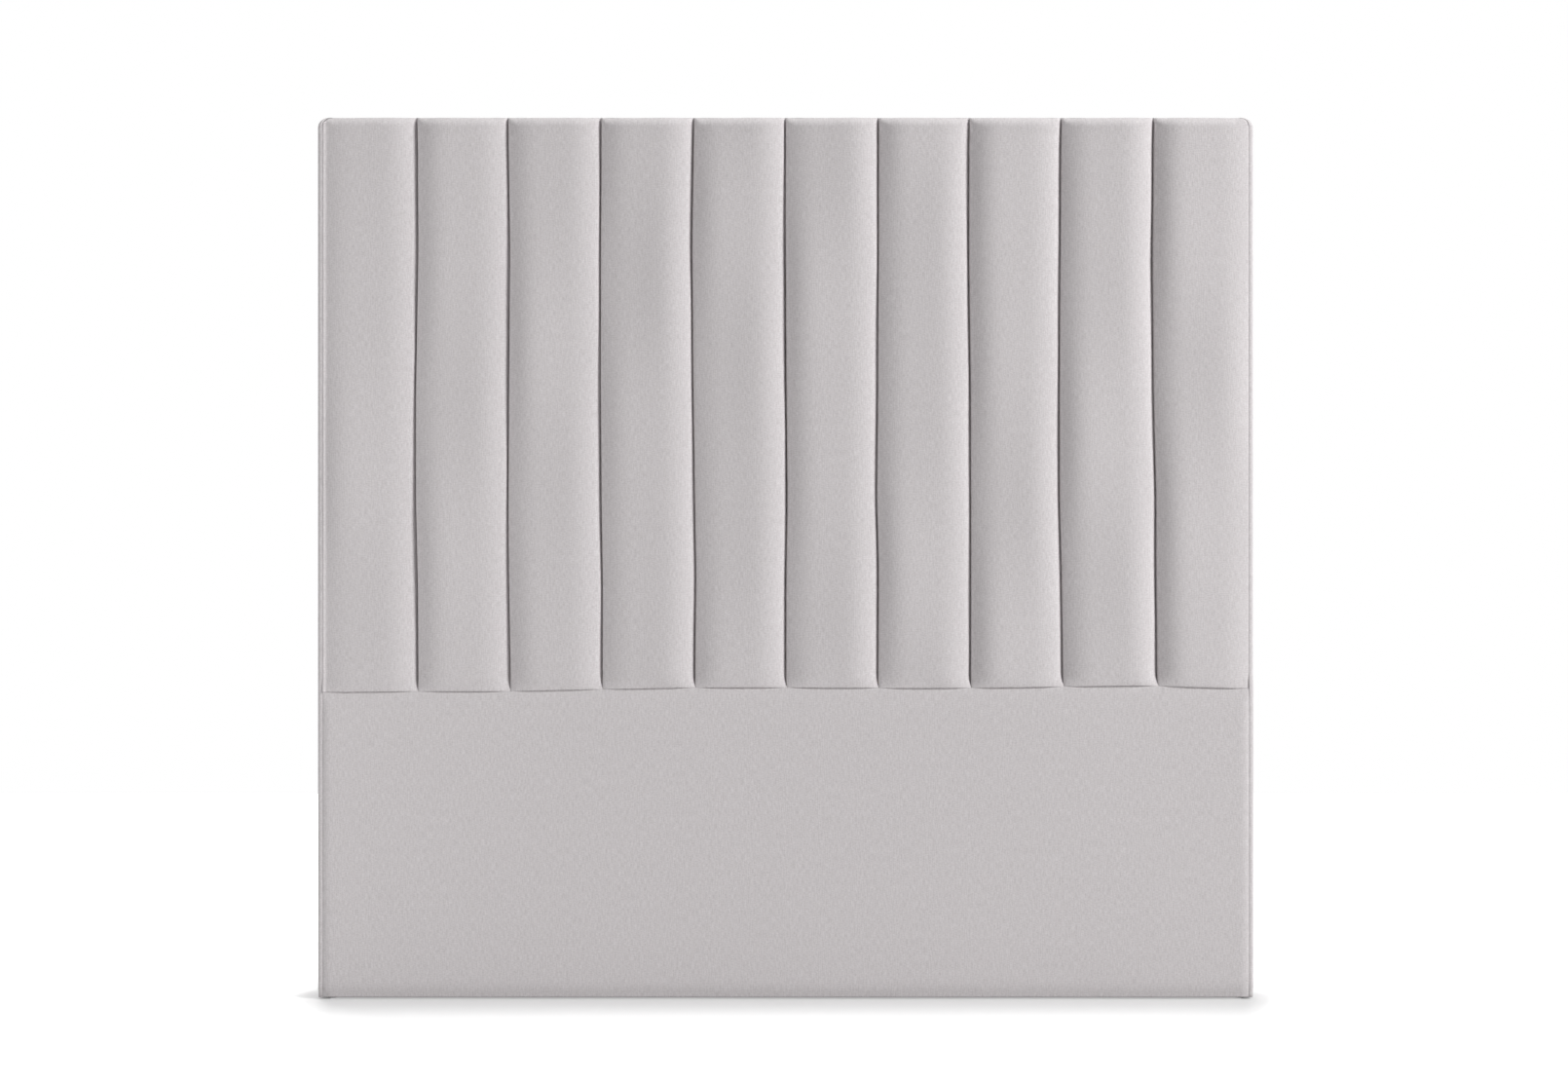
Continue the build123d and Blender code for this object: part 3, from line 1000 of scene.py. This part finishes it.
@dataclass
class LowerPanel:
    """The plain stuffed panel below the cross seam, turned under the frame and up its back as a hem."""

    seams: SeamLines
    crown: float = 22.5
    side_seam: float = 19.8
    top_seam: float = 19.0
    shoulder: float = 14.0
    edge_gap: float = 0.05
    foot_drop: float = 5.0
    foot_length: float = 24.0
    roll: float = 4.0
    hem: float = 43.0
    thickness: float = 1.2
    columns: int = 380
    rows: int = 90
    roll_rows: int = 8
    # How steeply the foam falls at the sides and at the top, and how far below the top it is full
    side_fullness: float = 2.2
    top_fullness: int = 3
    top_reach: float = 60.0
    # Depth and reach of the dip along the stitches at the cross seam and at both sides
    top_dip: tuple[float, float] = (0.6, 1.0)
    side_dip: tuple[float, float] = (0.35, 1.2)
    # Depth, half width and length of the puckers that hang from the channel seams' ends
    pucker: tuple[float, float, float] = (1.0, 4.0, 11.0)
    # Columns and rows at these distances and shares keep the turns into the seams sharp
    side_columns: tuple[float, ...] = (0.0, 0.15, 0.8, 2.0)
    side_start: float = 4.0
    seam_rows: tuple[float, ...] = (0, 0.0003, 0.0015, 0.004, 0.008)
    first_row: float = 0.013
    # How far the inner face keeps clear of the frame and of the board
    frame_gap: float = 0.1
    board_gap: float = 0.4
    fill: float = 0.85

    def build(self) -> bpy.types.Object:
        """Builds the panel as one closed shell of foam and cloth.

        Returns:
            The panel, riding.
        """
        half = HALF_FRAME - self.edge_gap
        brink = half - np.array(self.side_columns)
        start = half - self.side_start
        x = np.concatenate([-brink, np.linspace(-start, start, self.columns - 2 * len(brink)), brink[::-1]])
        top = self.seams.cross(x) - self.edge_gap
        shoulder_z = BASE + self.roll
        rows = ClothRows()
        for share in (*self.seam_rows, *np.linspace(self.first_row, 1, self.rows)):
            z = top + (shoulder_z - top) * share
            rise = self.rise(x, z, top - z, half - np.abs(x))
            rows.add(x, BOARD_FRONT - rise, z, z)
        for turn in np.linspace(0, math.pi / 2, self.roll_rows + 1)[1:]:
            depth = rise - self.roll * (1 - math.cos(turn))
            z = shoulder_z - self.roll * math.sin(turn)
            rows.add(x, BOARD_FRONT - depth, z, shoulder_z - self.roll * turn)
        reach = shoulder_z - self.roll * math.pi / 2
        last = (BOARD_FRONT - 5, BASE)
        for y, z in self.way_round():
            reach -= math.dist((y, z), last)
            last = (y, z)
            limit = HALF_FRAME - self.hem if y > FRAME_BACK - 1 else half
            rows.add(np.clip(x, -limit, limit), y, z, reach)
        rows.add(x, BOARD_FRONT - self.board_gap, top - 0.1, reach)
        return self.dress(self.closed(rows))

    def rise(self, x: np.ndarray, z: np.ndarray, below: np.ndarray, nearest: np.ndarray) -> np.ndarray:
        """How far one level row of the front stands off the board.

        Args:
            x: Places across.
            z: Heights above the floor.
            below: Distances below the cross seam.
            nearest: Distances from the nearer side seam.

        Returns:
            The rise at each place.
        """
        side = 1 - (1 - np.clip(nearest / self.shoulder, 0, 1)) ** self.side_fullness
        crown = self.side_seam + (self.crown - self.side_seam) * side
        swell = 1 - (1 - np.clip(below / self.top_reach, 0, 1)) ** self.top_fullness
        rise = self.top_seam + (crown - self.top_seam) * swell - stitch_dip(below, *self.top_dip)
        above_foot = (z - (BASE + self.roll)) / self.foot_length
        rise = rise - self.foot_drop * (1 - np.clip(above_foot, 0, 1)) ** 2
        return rise + self.unevenness(x, z, below) - stitch_dip(nearest, *self.side_dip)

    def way_round(self) -> list[tuple[float, float]]:
        """The outline behind the front: under the frame, up its back and inside.

        Returns:
            Depth and height of each point.
        """
        inside, hem_top = BASE + self.thickness, BASE + self.hem
        path = [(y, BASE) for y in np.linspace(BOARD_FRONT, HEM_BACK - 1, 8)]
        path += [(HEM_BACK - 0.3, BASE + 0.3)]
        path += [(HEM_BACK, z) for z in np.linspace(BASE + 1, inside + self.hem, 6)]
        path += [(FRAME_BACK + self.frame_gap, z) for z in (hem_top + 1.0, inside + self.frame_gap)]
        path += [(y, inside - self.frame_gap) for y in (FRAME_BACK, 20.0, BOARD_FRONT - 0.3)]
        return path + [(BOARD_FRONT - self.board_gap, z) for z in np.linspace(10, CROSS_SEAM - 12, 6)]

    def unevenness(self, x: np.ndarray, z: np.ndarray, below: np.ndarray) -> np.ndarray:
        """How the broad shallow waves and the puckers change the rise.

        Args:
            x: Places across.
            z: Heights above the floor.
            below: Distances below the cross seam.

        Returns:
            What is added to the rise.
        """
        broad = waves(x, [(0.3, 610, 0.1), (0.2, 340, 0.4)]) * np.cos(z / 170)
        puckers = np.zeros_like(x)
        depth, width, length = self.pucker
        for number in range(1, CHANNELS):
            seam = self.seams.upright(number, np.array(CROSS_SEAM))
            puckers -= depth * np.exp(-(((x - seam) / width) ** 2)) * np.exp(-below / length)
        return broad * eased(below / self.top_reach) + puckers

    def closed(self, rows: ClothRows) -> bpy.types.Object:
        """Joins the last row to the first and closes both ends of the tube.

        Args:
            rows: The rows in order, from the cross seam round to behind it.

        Returns:
            The closed piece.
        """
        points, flat = rows.arrays()
        count = len(points)
        faces = grid_quads(count, self.columns)
        last = (count - 1) * self.columns
        faces += [(last + k, last + k + 1, k + 1, k) for k in range(self.columns - 1)]
        faces.append(tuple(r * self.columns for r in reversed(range(count))))
        faces.append(tuple(r * self.columns + self.columns - 1 for r in range(count)))
        return make_piece("lower_panel", points.reshape(-1, 3), faces, flat.reshape(-1, 2))

    def dress(self, piece: bpy.types.Object) -> bpy.types.Object:
        """Gives the panel its cloth and its body, and hides the imported nodes that it stands for.

        Args:
            piece: The panel.

        Returns:
            The same panel.
        """
        piece.data.materials.append(COVER.material())
        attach(piece, ROOT)
        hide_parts("lower_cover", "lower_foam")
        return piece


@dataclass
class BandStation:
    """One place along the boxing band, as points across and up, with the band's sizes there."""

    frame_point: np.ndarray
    pad_point: np.ndarray
    way: np.ndarray
    build: float
    rise: float
    room: float
    groove: float

    def mirrored(self) -> "BandStation":
        """Turns the station over to the right-hand side.

        Returns:
            The same place there.
        """
        flip = np.array([-1.0, 1.0])
        return replace(
            self, frame_point=self.frame_point * flip, pad_point=self.pad_point * flip, way=self.way * flip
        )


@dataclass
class Boxing:
    """The padded band round the left, top and right edges, turned over on the back as a hem."""

    build_out: float = 8.0
    # How far the front seam stands off the board, below the cross seam and beside the channels
    left_rises: tuple[float, float] = (20.3, 20.6)
    right_rises: tuple[float, float] = (19.5, 14.8)
    # The front seam is drawn in deeper on the left than on the right
    left_groove: float = 1.0
    right_groove: float = 0.35
    corner: float = 19.0
    pad_corner: float = 16.0
    # The band draws in at its foot as the lower panel does
    foot_drop: float = 5.0
    foot_length: float = 24.0
    front_roll: float = 5.2
    back_roll: float = 2.0
    hem: float = 43.0
    gap: float = 0.05
    mitre_gap: float = 0.25
    fill: float = 0.5
    step: float = 6.0
    top_step: float = 8.0
    # The front seam's height changes over this much above the cross seam
    rise_change: float = 30.0
    # Stations round each top corner
    corner_steps: int = 15
    # How far out from the seam, and how much of its groove is left there
    groove_line: tuple[tuple[float, float], ...] = ((0.0, 1.0), (0.15, 0.75), (0.5, 0.3), (1.2, 0.05))
    # How far the hem's inner face keeps clear of the frame
    frame_gap: float = 0.1
    insert_inset: float = 18.0
    insert_heights: tuple[float, float] = (250.0, 1250.0)
    window: float = 7.5

    def levels(self) -> np.ndarray:
        """Spreads stations up a side, with the windows' edges and the mitre's start among them.

        Returns:
            Their heights above the floor.
        """
        marks = [BASE]
        for height in self.insert_heights:
            marks += [height - self.window, height + self.window]
        marks += [FRAME_TOP - self.hem, TOP - self.corner]
        runs = [
            np.linspace(low, high, max(2, round((high - low) / self.step)), endpoint=False)
            for low, high in zip(marks, marks[1:])
        ]
        return np.concatenate([*runs, marks[-1:]])

    def half(self, rises: tuple[float, float], groove: float) -> list[BandStation]:
        """Stations of the left half, from the bottom up, over the corner and to the middle of the top.

        Args:
            rises: How far the front seam stands off the board below and above the cross seam.
            groove: How deep the front seam is drawn in.

        Returns:
            The stations in order.
        """
        lower_rise, upper_rise = rises
        square = self.corner - self.build_out
        middle = np.array([-(HALF_FRAME - square), TOP - self.corner])
        pad_middle = np.array([-(HALF_FRAME - self.pad_corner), TOP - self.pad_corner])
        made = []
        outward, upward = np.array([-1.0, 0.0]), np.array([0.0, 1.0])
        for z in self.levels():
            point = np.array([-HALF_FRAME, z])
            share = float(eased(np.array((z - CROSS_SEAM) / self.rise_change)))
            foot = self.foot_drop * max(0.0, 1 - (z - BASE - self.front_roll) / self.foot_length) ** 2
            rise = lower_rise + (upper_rise - lower_rise) * share - min(foot, self.foot_drop)
            made.append(BandStation(point, point, outward, self.build_out, rise, FRAME_TOP - z, groove))
        for turn in np.linspace(0, math.pi / 2, self.corner_steps + 2)[1:-1]:
            way = np.array([-math.cos(turn), math.sin(turn)])
            inner = square / max(math.cos(turn), math.sin(turn))
            rise = self.gap + (upper_rise - self.gap) * math.cos(turn) ** 0.8
            edge = pad_middle + way * self.pad_corner
            build = self.corner - inner
            made.append(BandStation(middle + way * inner, edge, way, build, rise, inner, groove))
        for x in np.linspace(middle[0], 0, round(-middle[0] / self.top_step)):
            point = np.array([x, FRAME_TOP])
            made.append(BandStation(point, point, upward, self.build_out, self.gap, HALF_FRAME + x, groove))
        return made

    def stations(self) -> list[BandStation]:
        """Joins the left half and the mirrored right half.

        Returns:
            All stations, from the lower left over the top to the lower right.
        """
        right = self.half(self.right_rises, self.right_groove)
        left = self.half(self.left_rises, self.left_groove)
        return left + [station.mirrored() for station in reversed(right[:-1])]

    def profile(self, station: BandStation) -> list[tuple[float, float]]:
        """The band's closed outline at one station, from the front seam round to the inside.

        Args:
            station: The station.

        Returns:
            Distance outward and depth of each point.
        """
        build, rise = station.build, station.rise
        front = BOARD_FRONT - rise
        low = min(rise, station.groove)
        roll = min(self.front_roll, max(rise, 0.6))
        points = [(self.gap + out, front + low * share) for out, share in self.groove_line]
        for turn in np.linspace(0.25, math.pi / 2, 7):
            points.append((
                self.gap + (build - self.gap) * math.sin(turn) ** 0.6,
                front + roll * (1 - math.cos(turn)),
            ))
        body = np.linspace(front + roll, HEM_BACK - self.back_roll, 12)
        points += [(build, y) for y in body[1:]]
        for turn in np.linspace(0, math.pi / 2, 4)[1:]:
            points.append((
                build - self.back_roll * (1 - math.cos(turn)),
                HEM_BACK - self.back_roll * (1 - math.sin(turn)),
            ))
        # The hem's outer face, its rounded edge and its inner face, and then the inside of the band
        inner, under = -self.hem, FRAME_BACK + self.frame_gap
        points += [(out, HEM_BACK) for out in (2.0, -4.0, *self.window_edges(), -34.0, inner + 0.6)]
        points += [(inner, (HEM_BACK + FRAME_BACK) / 2), (inner + 0.6, under)]
        points += [(out, under) for out in (*reversed(self.window_edges()), -1.0, self.gap)]
        points += [(self.gap, y) for y in np.linspace(FRAME_BACK - 2, front + low + 1.0, 5)]
        return points

    def window_edges(self) -> tuple[float, float]:
        """Both edges of the inserts' windows, as distances outward from the frame's side."""
        return -self.insert_inset + self.window, -self.insert_inset - self.window

    def place(self, station: BandStation, out: float, depth: float) -> tuple[float, float, float]:
        """Where one profile point comes at a station.

        Args:
            station: The station.
            out: The point's distance outward from the frame.
            depth: The point's depth.

        Returns:
            The place across, its depth and its height.
        """
        if out < 0:
            shortened = min(1.0, (station.room - self.mitre_gap) / self.hem)
            spot = station.frame_point + station.way * out * shortened
        elif depth < BOARD_FRONT - 0.1:
            outside = station.frame_point + station.way * station.build
            spot = station.pad_point + (outside - station.pad_point) * out / station.build
        else:
            spot = station.frame_point + station.way * out
        return spot[0], depth, spot[1]

    def build(self) -> bpy.types.Object:
        """Builds the band as one closed sweep, with windows in its hem over the inserts.

        Returns:
            The band, riding.
        """
        rows, cloth, along = [], [], 0.0
        stations = self.stations()
        for before, station in zip([stations[0], *stations], stations):
            along += math.dist(station.frame_point, before.frame_point)
            outline = self.profile(station)
            steps = [math.dist(a, b) for a, b in zip([outline[0], *outline], outline)]
            rows.append([self.place(station, out, depth) for out, depth in outline])
            cloth.append([(reach, along) for reach in np.cumsum(steps)])
        count, width = len(rows), len(rows[0])
        edges = [k for k, (out, _) in enumerate(outline) if out in self.window_edges()]
        cut, rims = set(), []
        for r, station in enumerate(stations):
            height = station.frame_point[1]
            if any(-self.window <= height - h < self.window for h in self.insert_heights):
                first = r if station.way[0] < 0 else r - 1
                cut |= {(first, edges[0]), (first, edges[2])}
                rims += [(first, *edges)]
        quads = grid_quads(count, width)
        faces = [quad for k, quad in enumerate(quads) if divmod(k, width - 1) not in cut]
        faces += self.window_faces(rims, width)
        for r in range(count - 1):
            a, b = r * width, (r + 1) * width
            faces.append((a + width - 1, a, b, b + width - 1))
        faces.append(tuple(reversed(range(width))))
        faces.append(tuple(range((count - 1) * width, count * width)))
        points, flat = np.array(rows).reshape(-1, 3), np.array(cloth).reshape(-1, 2)
        return self.dress(make_piece("boxing_band", points, faces, flat))

    def window_faces(
        self, rims: list[tuple[int, int, int, int, int]], width: int
    ) -> list[tuple[int, int, int, int]]:
        """The cut edges of the windows, between the hem's outer and inner faces.

        Args:
            rims: For each cut row, its number and the profile numbers of the window's four edges.
            width: Points in each row.

        Returns:
            Quads that close the cuts.
        """
        faces, cut_rows = [], {r for r, *_ in rims}
        for r, outer_near, outer_far, inner_far, inner_near in rims:
            a, b = r * width, (r + 1) * width
            faces.append((a + outer_far, b + outer_far, b + inner_far, a + inner_far))
            faces.append((b + outer_near, a + outer_near, a + inner_near, b + inner_near))
            if r - 1 not in cut_rows:
                faces.append((a + outer_near, a + outer_far, a + inner_far, a + inner_near))
            if r + 1 not in cut_rows:
                faces.append((b + outer_far, b + outer_near, b + inner_near, b + inner_far))
        return faces

    def dress(self, piece: bpy.types.Object) -> bpy.types.Object:
        """Gives the band its cloth and its body, and hides the imported nodes that it stands for.

        Args:
            piece: The band.

        Returns:
            The same band.
        """
        piece.data.materials.append(COVER.material())
        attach(piece, ROOT)
        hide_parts("boxing_strip", "edge_wadding_left", "edge_wadding_right", "edge_wadding_top")
        return piece


@dataclass
class DustCover:
    """The thin black cloth stapled over the back, which gives a little between the posts."""

    finish: SpunBondedPolypropylene = SpunBondedPolypropylene("spun_bonded_polypropylene")
    thickness: float = 0.4
    # How far the cloth lies in from the hem's level, on the timber and in the open between it
    rest: float = 0.7
    sag: float = 2.4
    hem_overlap: float = 16.0
    # Beyond the overlap the cloth reaches its full depth within this distance
    slope: float = 30.0
    # It hangs free from this far beside the timber, over the next distance
    timber_edge: float = 4.0
    timber_slope: float = 55.0
    # How far the folds reach in from the edge
    fold_reach: float = 60.0
    # The cloth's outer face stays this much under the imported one
    clearance: float = 0.15
    columns: int = 170
    rows: int = 160

    def build(self) -> bpy.types.Object:
        """Builds the cloth as a thin closed sheet.

        Returns:
            The cloth, riding.
        """
        low, high = (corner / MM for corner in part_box("dust_cover"))
        x, z = np.meshgrid(np.linspace(low.x, high.x, self.columns), np.linspace(low.z, high.z, self.rows))
        edge = np.minimum(np.minimum(x - low.x, high.x - x), np.minimum(z - low.z, high.z - z))
        open_share = 1 - self.on_timber(x, z)
        depth = self.rest + (self.sag - self.rest) * open_share
        inward = depth * eased((edge - self.hem_overlap) / self.slope)
        folds = waves(x + 0.35 * z, [(0.12, 67, 0.2), (0.1, 43, 0.6)]) * np.exp(-edge / self.fold_reach)
        outer = high.y - self.clearance - inward + folds * eased(edge / self.hem_overlap)
        behind = np.stack([x, outer, z], axis=-1).reshape(-1, 3)
        inside = behind - np.array([0, self.thickness, 0])
        numbers = np.arange(self.rows * self.columns).reshape(self.rows, self.columns)
        count, quads = numbers.size, grid_quads(self.rows, self.columns)
        faces = quads + [tuple(count + k for k in reversed(quad)) for quad in quads]
        sides = (numbers[0], numbers[1:, -1], numbers[-1, -2::-1], numbers[-2:0:-1, 0])
        ring = np.concatenate(sides).tolist()
        faces += [(b, a, count + a, count + b) for a, b in zip(ring, ring[1:] + ring[:1])]
        piece = make_piece("dust_cover_cloth", np.concatenate([behind, inside]), faces)
        return self.dress(piece, ((high.x - low.x) * MM, (high.z - low.z) * MM))

    def on_timber(self, x: np.ndarray, z: np.ndarray) -> np.ndarray:
        """1 where a post, rail or stile lies behind the cloth, falling to 0 beside it.

        Args:
            x: Places across.
            z: Heights above the floor.

        Returns:
            The share at each place.
        """
        timber = ["stile_left", "stile_right", "top_rail", "seam_rail", "bottom_rail"]
        timber += [f"{level}_post_{k}" for level in ("upper", "lower") for k in (1, 2, 3)]
        share = np.zeros_like(x)
        for name in timber:
            low, high = (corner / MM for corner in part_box(name))
            beside = np.maximum(np.maximum(low.x - x, x - high.x), np.maximum(low.z - z, z - high.z))
            share = np.maximum(share, 1 - eased((beside - self.timber_edge) / self.timber_slope))
        return share

    def dress(self, piece: bpy.types.Object, flat: tuple[float, float]) -> bpy.types.Object:
        """Gives the cloth its finish and its body, and hides the imported dust cover.

        Args:
            piece: The cloth.
            flat: Its flat width and height, in metres; not used.

        Returns:
            The same cloth.
        """
        piece.data.materials.append(self.finish.material())
        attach(piece, ROOT)
        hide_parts("dust_cover")
        return piece


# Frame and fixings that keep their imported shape


@dataclass
class FrameAndFixings:
    """Timber, boards, staples, inserts and glides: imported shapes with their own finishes."""

    upright_pine: PlanedPine = PlanedPine("planed_pine_upright", Grain.ALONG_Z)
    level_pine: PlanedPine = PlanedPine("planed_pine_level", Grain.ALONG_X)
    plywood: BirchPlywood = BirchPlywood("birch_plywood")
    card: PressedCard = PressedCard("pressed_card")
    wire: ZincPlatedSteel = ZincPlatedSteel("zinc_plated_wire")
    insert: ZincPlatedSteel = ZincPlatedSteel(
        "zinc_plated_insert", dark="#A19E90", pale="#C9C6B8", cloud=5.0, roughness=0.42
    )
    nail: ZincPlatedSteel = ZincPlatedSteel(
        "bright_nail_steel", dark="#8E9092", pale="#C2C3C4", cloud=4.0, roughness=0.45
    )
    nylon: MouldedNylon = MouldedNylon("moulded_nylon")

    def finishes(self) -> dict[Finish, tuple[str, ...]]:
        """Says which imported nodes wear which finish.

        Returns:
            The names of the nodes for each finish.
        """
        posts = tuple(f"{level}_post_{k}" for level in ("upper", "lower") for k in (1, 2, 3))
        return {
            self.upright_pine: ("stile_left", "stile_right", *posts),
            self.level_pine: ("top_rail", "seam_rail", "bottom_rail", "corner_blocks"),
            self.plywood: ("upper_face_board", "lower_face_board"),
            self.card: ("tack_strip",),
            self.wire: ("board_staples", "tack_strip_staples", "hem_staples", "dust_cover_staples"),
            self.insert: ("threaded_inserts",),
            self.nail: ("glide_nails",),
            self.nylon: ("glides",),
        }

    def dress(self) -> int:
        """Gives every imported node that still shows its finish.

        Returns:
            How many nodes there are.
        """
        count = 0
        for finish, nodes in self.finishes().items():
            for name in nodes:
                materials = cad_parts[name].data.materials
                materials.clear()
                materials.append(finish.material())
                count += 1
        return count


# Studio


@dataclass(frozen=True)
class Lamp:
    """One soft flat lamp, with its place and size in metres and its power in watts."""

    name: str
    place: tuple[float, float, float]
    size: tuple[float, float]
    power: float

    def hang(self, aim: tuple[float, float, float]) -> None:
        """Adds the lamp, turned towards a place.

        Args:
            aim: The place, in metres.
        """
        data = bpy.data.lights.new(self.name, "AREA")
        data.shape = "RECTANGLE"
        data.size, data.size_y = self.size
        data.energy = self.power
        lamp = bpy.data.objects.new(self.name, data)
        lamp.location = self.place
        lamp.rotation_euler = (Vector(aim) - lamp.location).to_track_quat("-Z", "Y").to_euler()
        bpy.context.scene.collection.objects.link(lamp)


@dataclass
class Studio:
    """A white studio: pale floor with a painted shadow round the headboard, soft light from the right and
    above, and a level camera.
    """

    # The camera sees this width at its distance, which is measured from just inside the padded front
    field_width: float = 2.668
    distance: float = 5.0
    front: float = -0.035
    eye_height: float = 0.7796
    eye_across: float = -0.003
    sensor: float = 36.0
    lamps: tuple[Lamp, ...] = (
        Lamp("key", (6.64, -3.5, 3.44), (2.4, 2.4), 600.0),
        Lamp("top_strip", (0.0, 0.16, 4.2), (2.6, 0.3), 52.0),
        Lamp("fill", (-2.75, -1.9, 1.2), (1.6, 1.6), 31.0),
        Lamp("back", (-2.4, 4.2, 2.6), (2.4, 2.4), 110.0),
    )
    aim: tuple[float, float, float] = (0.0, 0.0, 0.8)
    ambient: float = 0.12
    # The floor's corners in metres, and how much light its paint gives back
    floor_corners: tuple[tuple[float, float], ...] = ((-6, -6), (6, -6), (6, 4), (-6, 4))
    floor_paint: tuple[float, ...] = (0.7, 0.7, 0.7, 1.0)
    # Half the footprint that the floor's painted shadow is measured from, in metres
    painted_shadow_footprint: tuple[float, float] = (0.78, 0.034)
    # How far the painted shadow reaches beside the headboard, as a share of how far it reaches in front of
    # it
    painted_shadow_side_reach: float = 0.18
    # How much narrower the painted shadow gets for each metre in front of the headboard
    painted_shadow_narrowing: float = 0.18
    # The floor's glow for the camera, by the distance in front of the headboard in metres: a painted light
    # in the slit below it, where no lamp reaches, and then a painted shadow that fades to white
    floor_glow_painted_light_and_shadow: tuple[tuple[float, float], ...] = (
        (0.0, 0.42), (0.008, 0.17), (0.07, 0.19), (0.13, 0.25), (0.18, 0.31), (0.25, 0.39), (0.33, 0.56),
        (0.46, 1.0),
    )

    def build(self) -> None:
        """Sets up floor, world, lamps and camera."""
        bpy.context.scene.view_settings.view_transform = "Standard"
        self.floor()
        self.world()
        for lamp in self.lamps:
            lamp.hang(self.aim)
        self.camera()

    def floor(self) -> None:
        """A plain floor that keeps the headboard's shadow, and for the camera glows with a painted shadow
        round the headboard and a painted light in the slit below it.
        """
        mesh = bpy.data.meshes.new("studio_floor")
        mesh.from_pydata([(*corner, 0) for corner in self.floor_corners], [], [(0, 1, 2, 3)])
        floor = bpy.data.objects.new("studio_floor", mesh)
        bpy.context.scene.collection.objects.link(floor)
        made = bpy.data.materials.new("studio_floor_painted_light_and_shadow")
        made.use_nodes = True
        tree = made.node_tree
        tree.nodes.clear()
        place = add_node(tree, "TexCoord").outputs["Object"]
        size = add_node(tree, "VectorMath", {0: place}, operation="ABSOLUTE").outputs[0]
        past = []
        for direction, edge in zip(((1, self.painted_shadow_narrowing, 0), (0, 1, 0)), self.painted_shadow_footprint):
            reach = add_node(tree, "VectorMath", {0: size, 1: direction}, operation="DOT_PRODUCT")
            beyond = add_node(tree, "Math", {0: reach.outputs["Value"], 1: edge}, operation="SUBTRACT")
            kept = add_node(tree, "Math", {0: beyond.outputs[0], 1: 0.0}, operation="MAXIMUM")
            past.append(kept.outputs[0])
        sideways = add_node(tree, "Math", {0: past[0], 1: self.painted_shadow_side_reach}, operation="DIVIDE").outputs[0]
        outside = add_node(tree, "CombineXYZ", {"X": sideways, "Y": past[1]}).outputs[0]
        painted_shadow_distance = add_node(tree, "VectorMath", {0: outside}, operation="LENGTH").outputs["Value"]
        # The glow is a painted shadow near the headboard that fades to white, with a painted light in the
        # slit below it
        painted_shadow_end = self.floor_glow_painted_light_and_shadow[-1][0]
        share = add_node(tree, "Math", {0: painted_shadow_distance, 1: painted_shadow_end}, operation="DIVIDE", use_clamp=True).outputs[0]
        strength = add_node(tree, "ValToRGB", {"Fac": share})
        stops = strength.color_ramp.elements
        for distance, level in self.floor_glow_painted_light_and_shadow[1:-1]:
            stops.new(distance / painted_shadow_end).color = (level, level, level, 1)
        stops[0].color = (*[self.floor_glow_painted_light_and_shadow[0][1]] * 3, 1)
        paint = add_node(tree, "BsdfDiffuse", {"Color": self.floor_paint}).outputs[0]
        painted_light_and_shadow_glow = add_node(tree, "Emission", {"Color": strength.outputs[0], "Strength": 1.0}).outputs[0]
        shown = add_node(tree, "AddShader", {0: paint, 1: painted_light_and_shadow_glow}).outputs[0]
        path = add_node(tree, "LightPath")
        mixed = add_node(tree, "MixShader", {0: path.outputs["Is Camera Ray"], 1: paint, 2: shown})
        add_node(tree, "OutputMaterial", {"Surface": mixed.outputs[0]})
        mesh.materials.append(made)

    def world(self) -> None:
        """White where it is seen or mirrored, and a plain soft light elsewhere."""
        world = bpy.data.worlds.new("studio_white")
        bpy.context.scene.world = world
        world.use_nodes = True
        tree = world.node_tree
        tree.nodes.clear()
        path = add_node(tree, "LightPath")
        seen = path.outputs["Is Camera Ray"]
        for ray in ("Is Glossy Ray", "Is Transmission Ray"):
            seen = add_node(tree, "Math", {0: seen, 1: path.outputs[ray]}, operation="MAXIMUM").outputs[0]
        soft = add_node(tree, "Background", {"Color": (1, 1, 1, 1), "Strength": self.ambient}).outputs[0]
        white = add_node(tree, "Background", {"Color": (1, 1, 1, 1), "Strength": 1.0}).outputs[0]
        mixed = add_node(tree, "MixShader", {0: seen, 1: soft, 2: white}).outputs[0]
        add_node(tree, "OutputWorld", {"Surface": mixed})

    def camera(self) -> None:
        """A level camera square to the front, at the height that the photograph was taken from."""
        data = bpy.data.cameras.new("camera")
        data.sensor_width = self.sensor
        data.lens = self.sensor * self.distance / self.field_width
        camera = bpy.data.objects.new("camera", data)
        camera.location = (self.eye_across, self.front - self.distance, self.eye_height)
        camera.rotation_euler = (math.pi / 2, 0, 0)
        bpy.context.scene.collection.objects.link(camera)
        bpy.context.scene.camera = camera


def main() -> None:
    """Builds and dresses the whole headboard, and then the studio round it."""
    logging.basicConfig(level=logging.INFO, format="%(message)s")
    seams = SeamLines()
    for pad in ChannelPads(seams).build():
        log.info("channel pad %s: %d points", pad.name, len(pad.data.vertices))
    panel = LowerPanel(seams).build()
    log.info("lower panel: %d points", len(panel.data.vertices))
    band = Boxing().build()
    log.info("boxing: %d points", len(band.data.vertices))
    cloth = DustCover().build()
    log.info("dust cover: %d points", len(cloth.data.vertices))
    log.info("packed nodes dressed: %d", FrameAndFixings().dress())
    Studio().build()
    log.info("studio is set up")


if __name__ == "__main__":
    main()
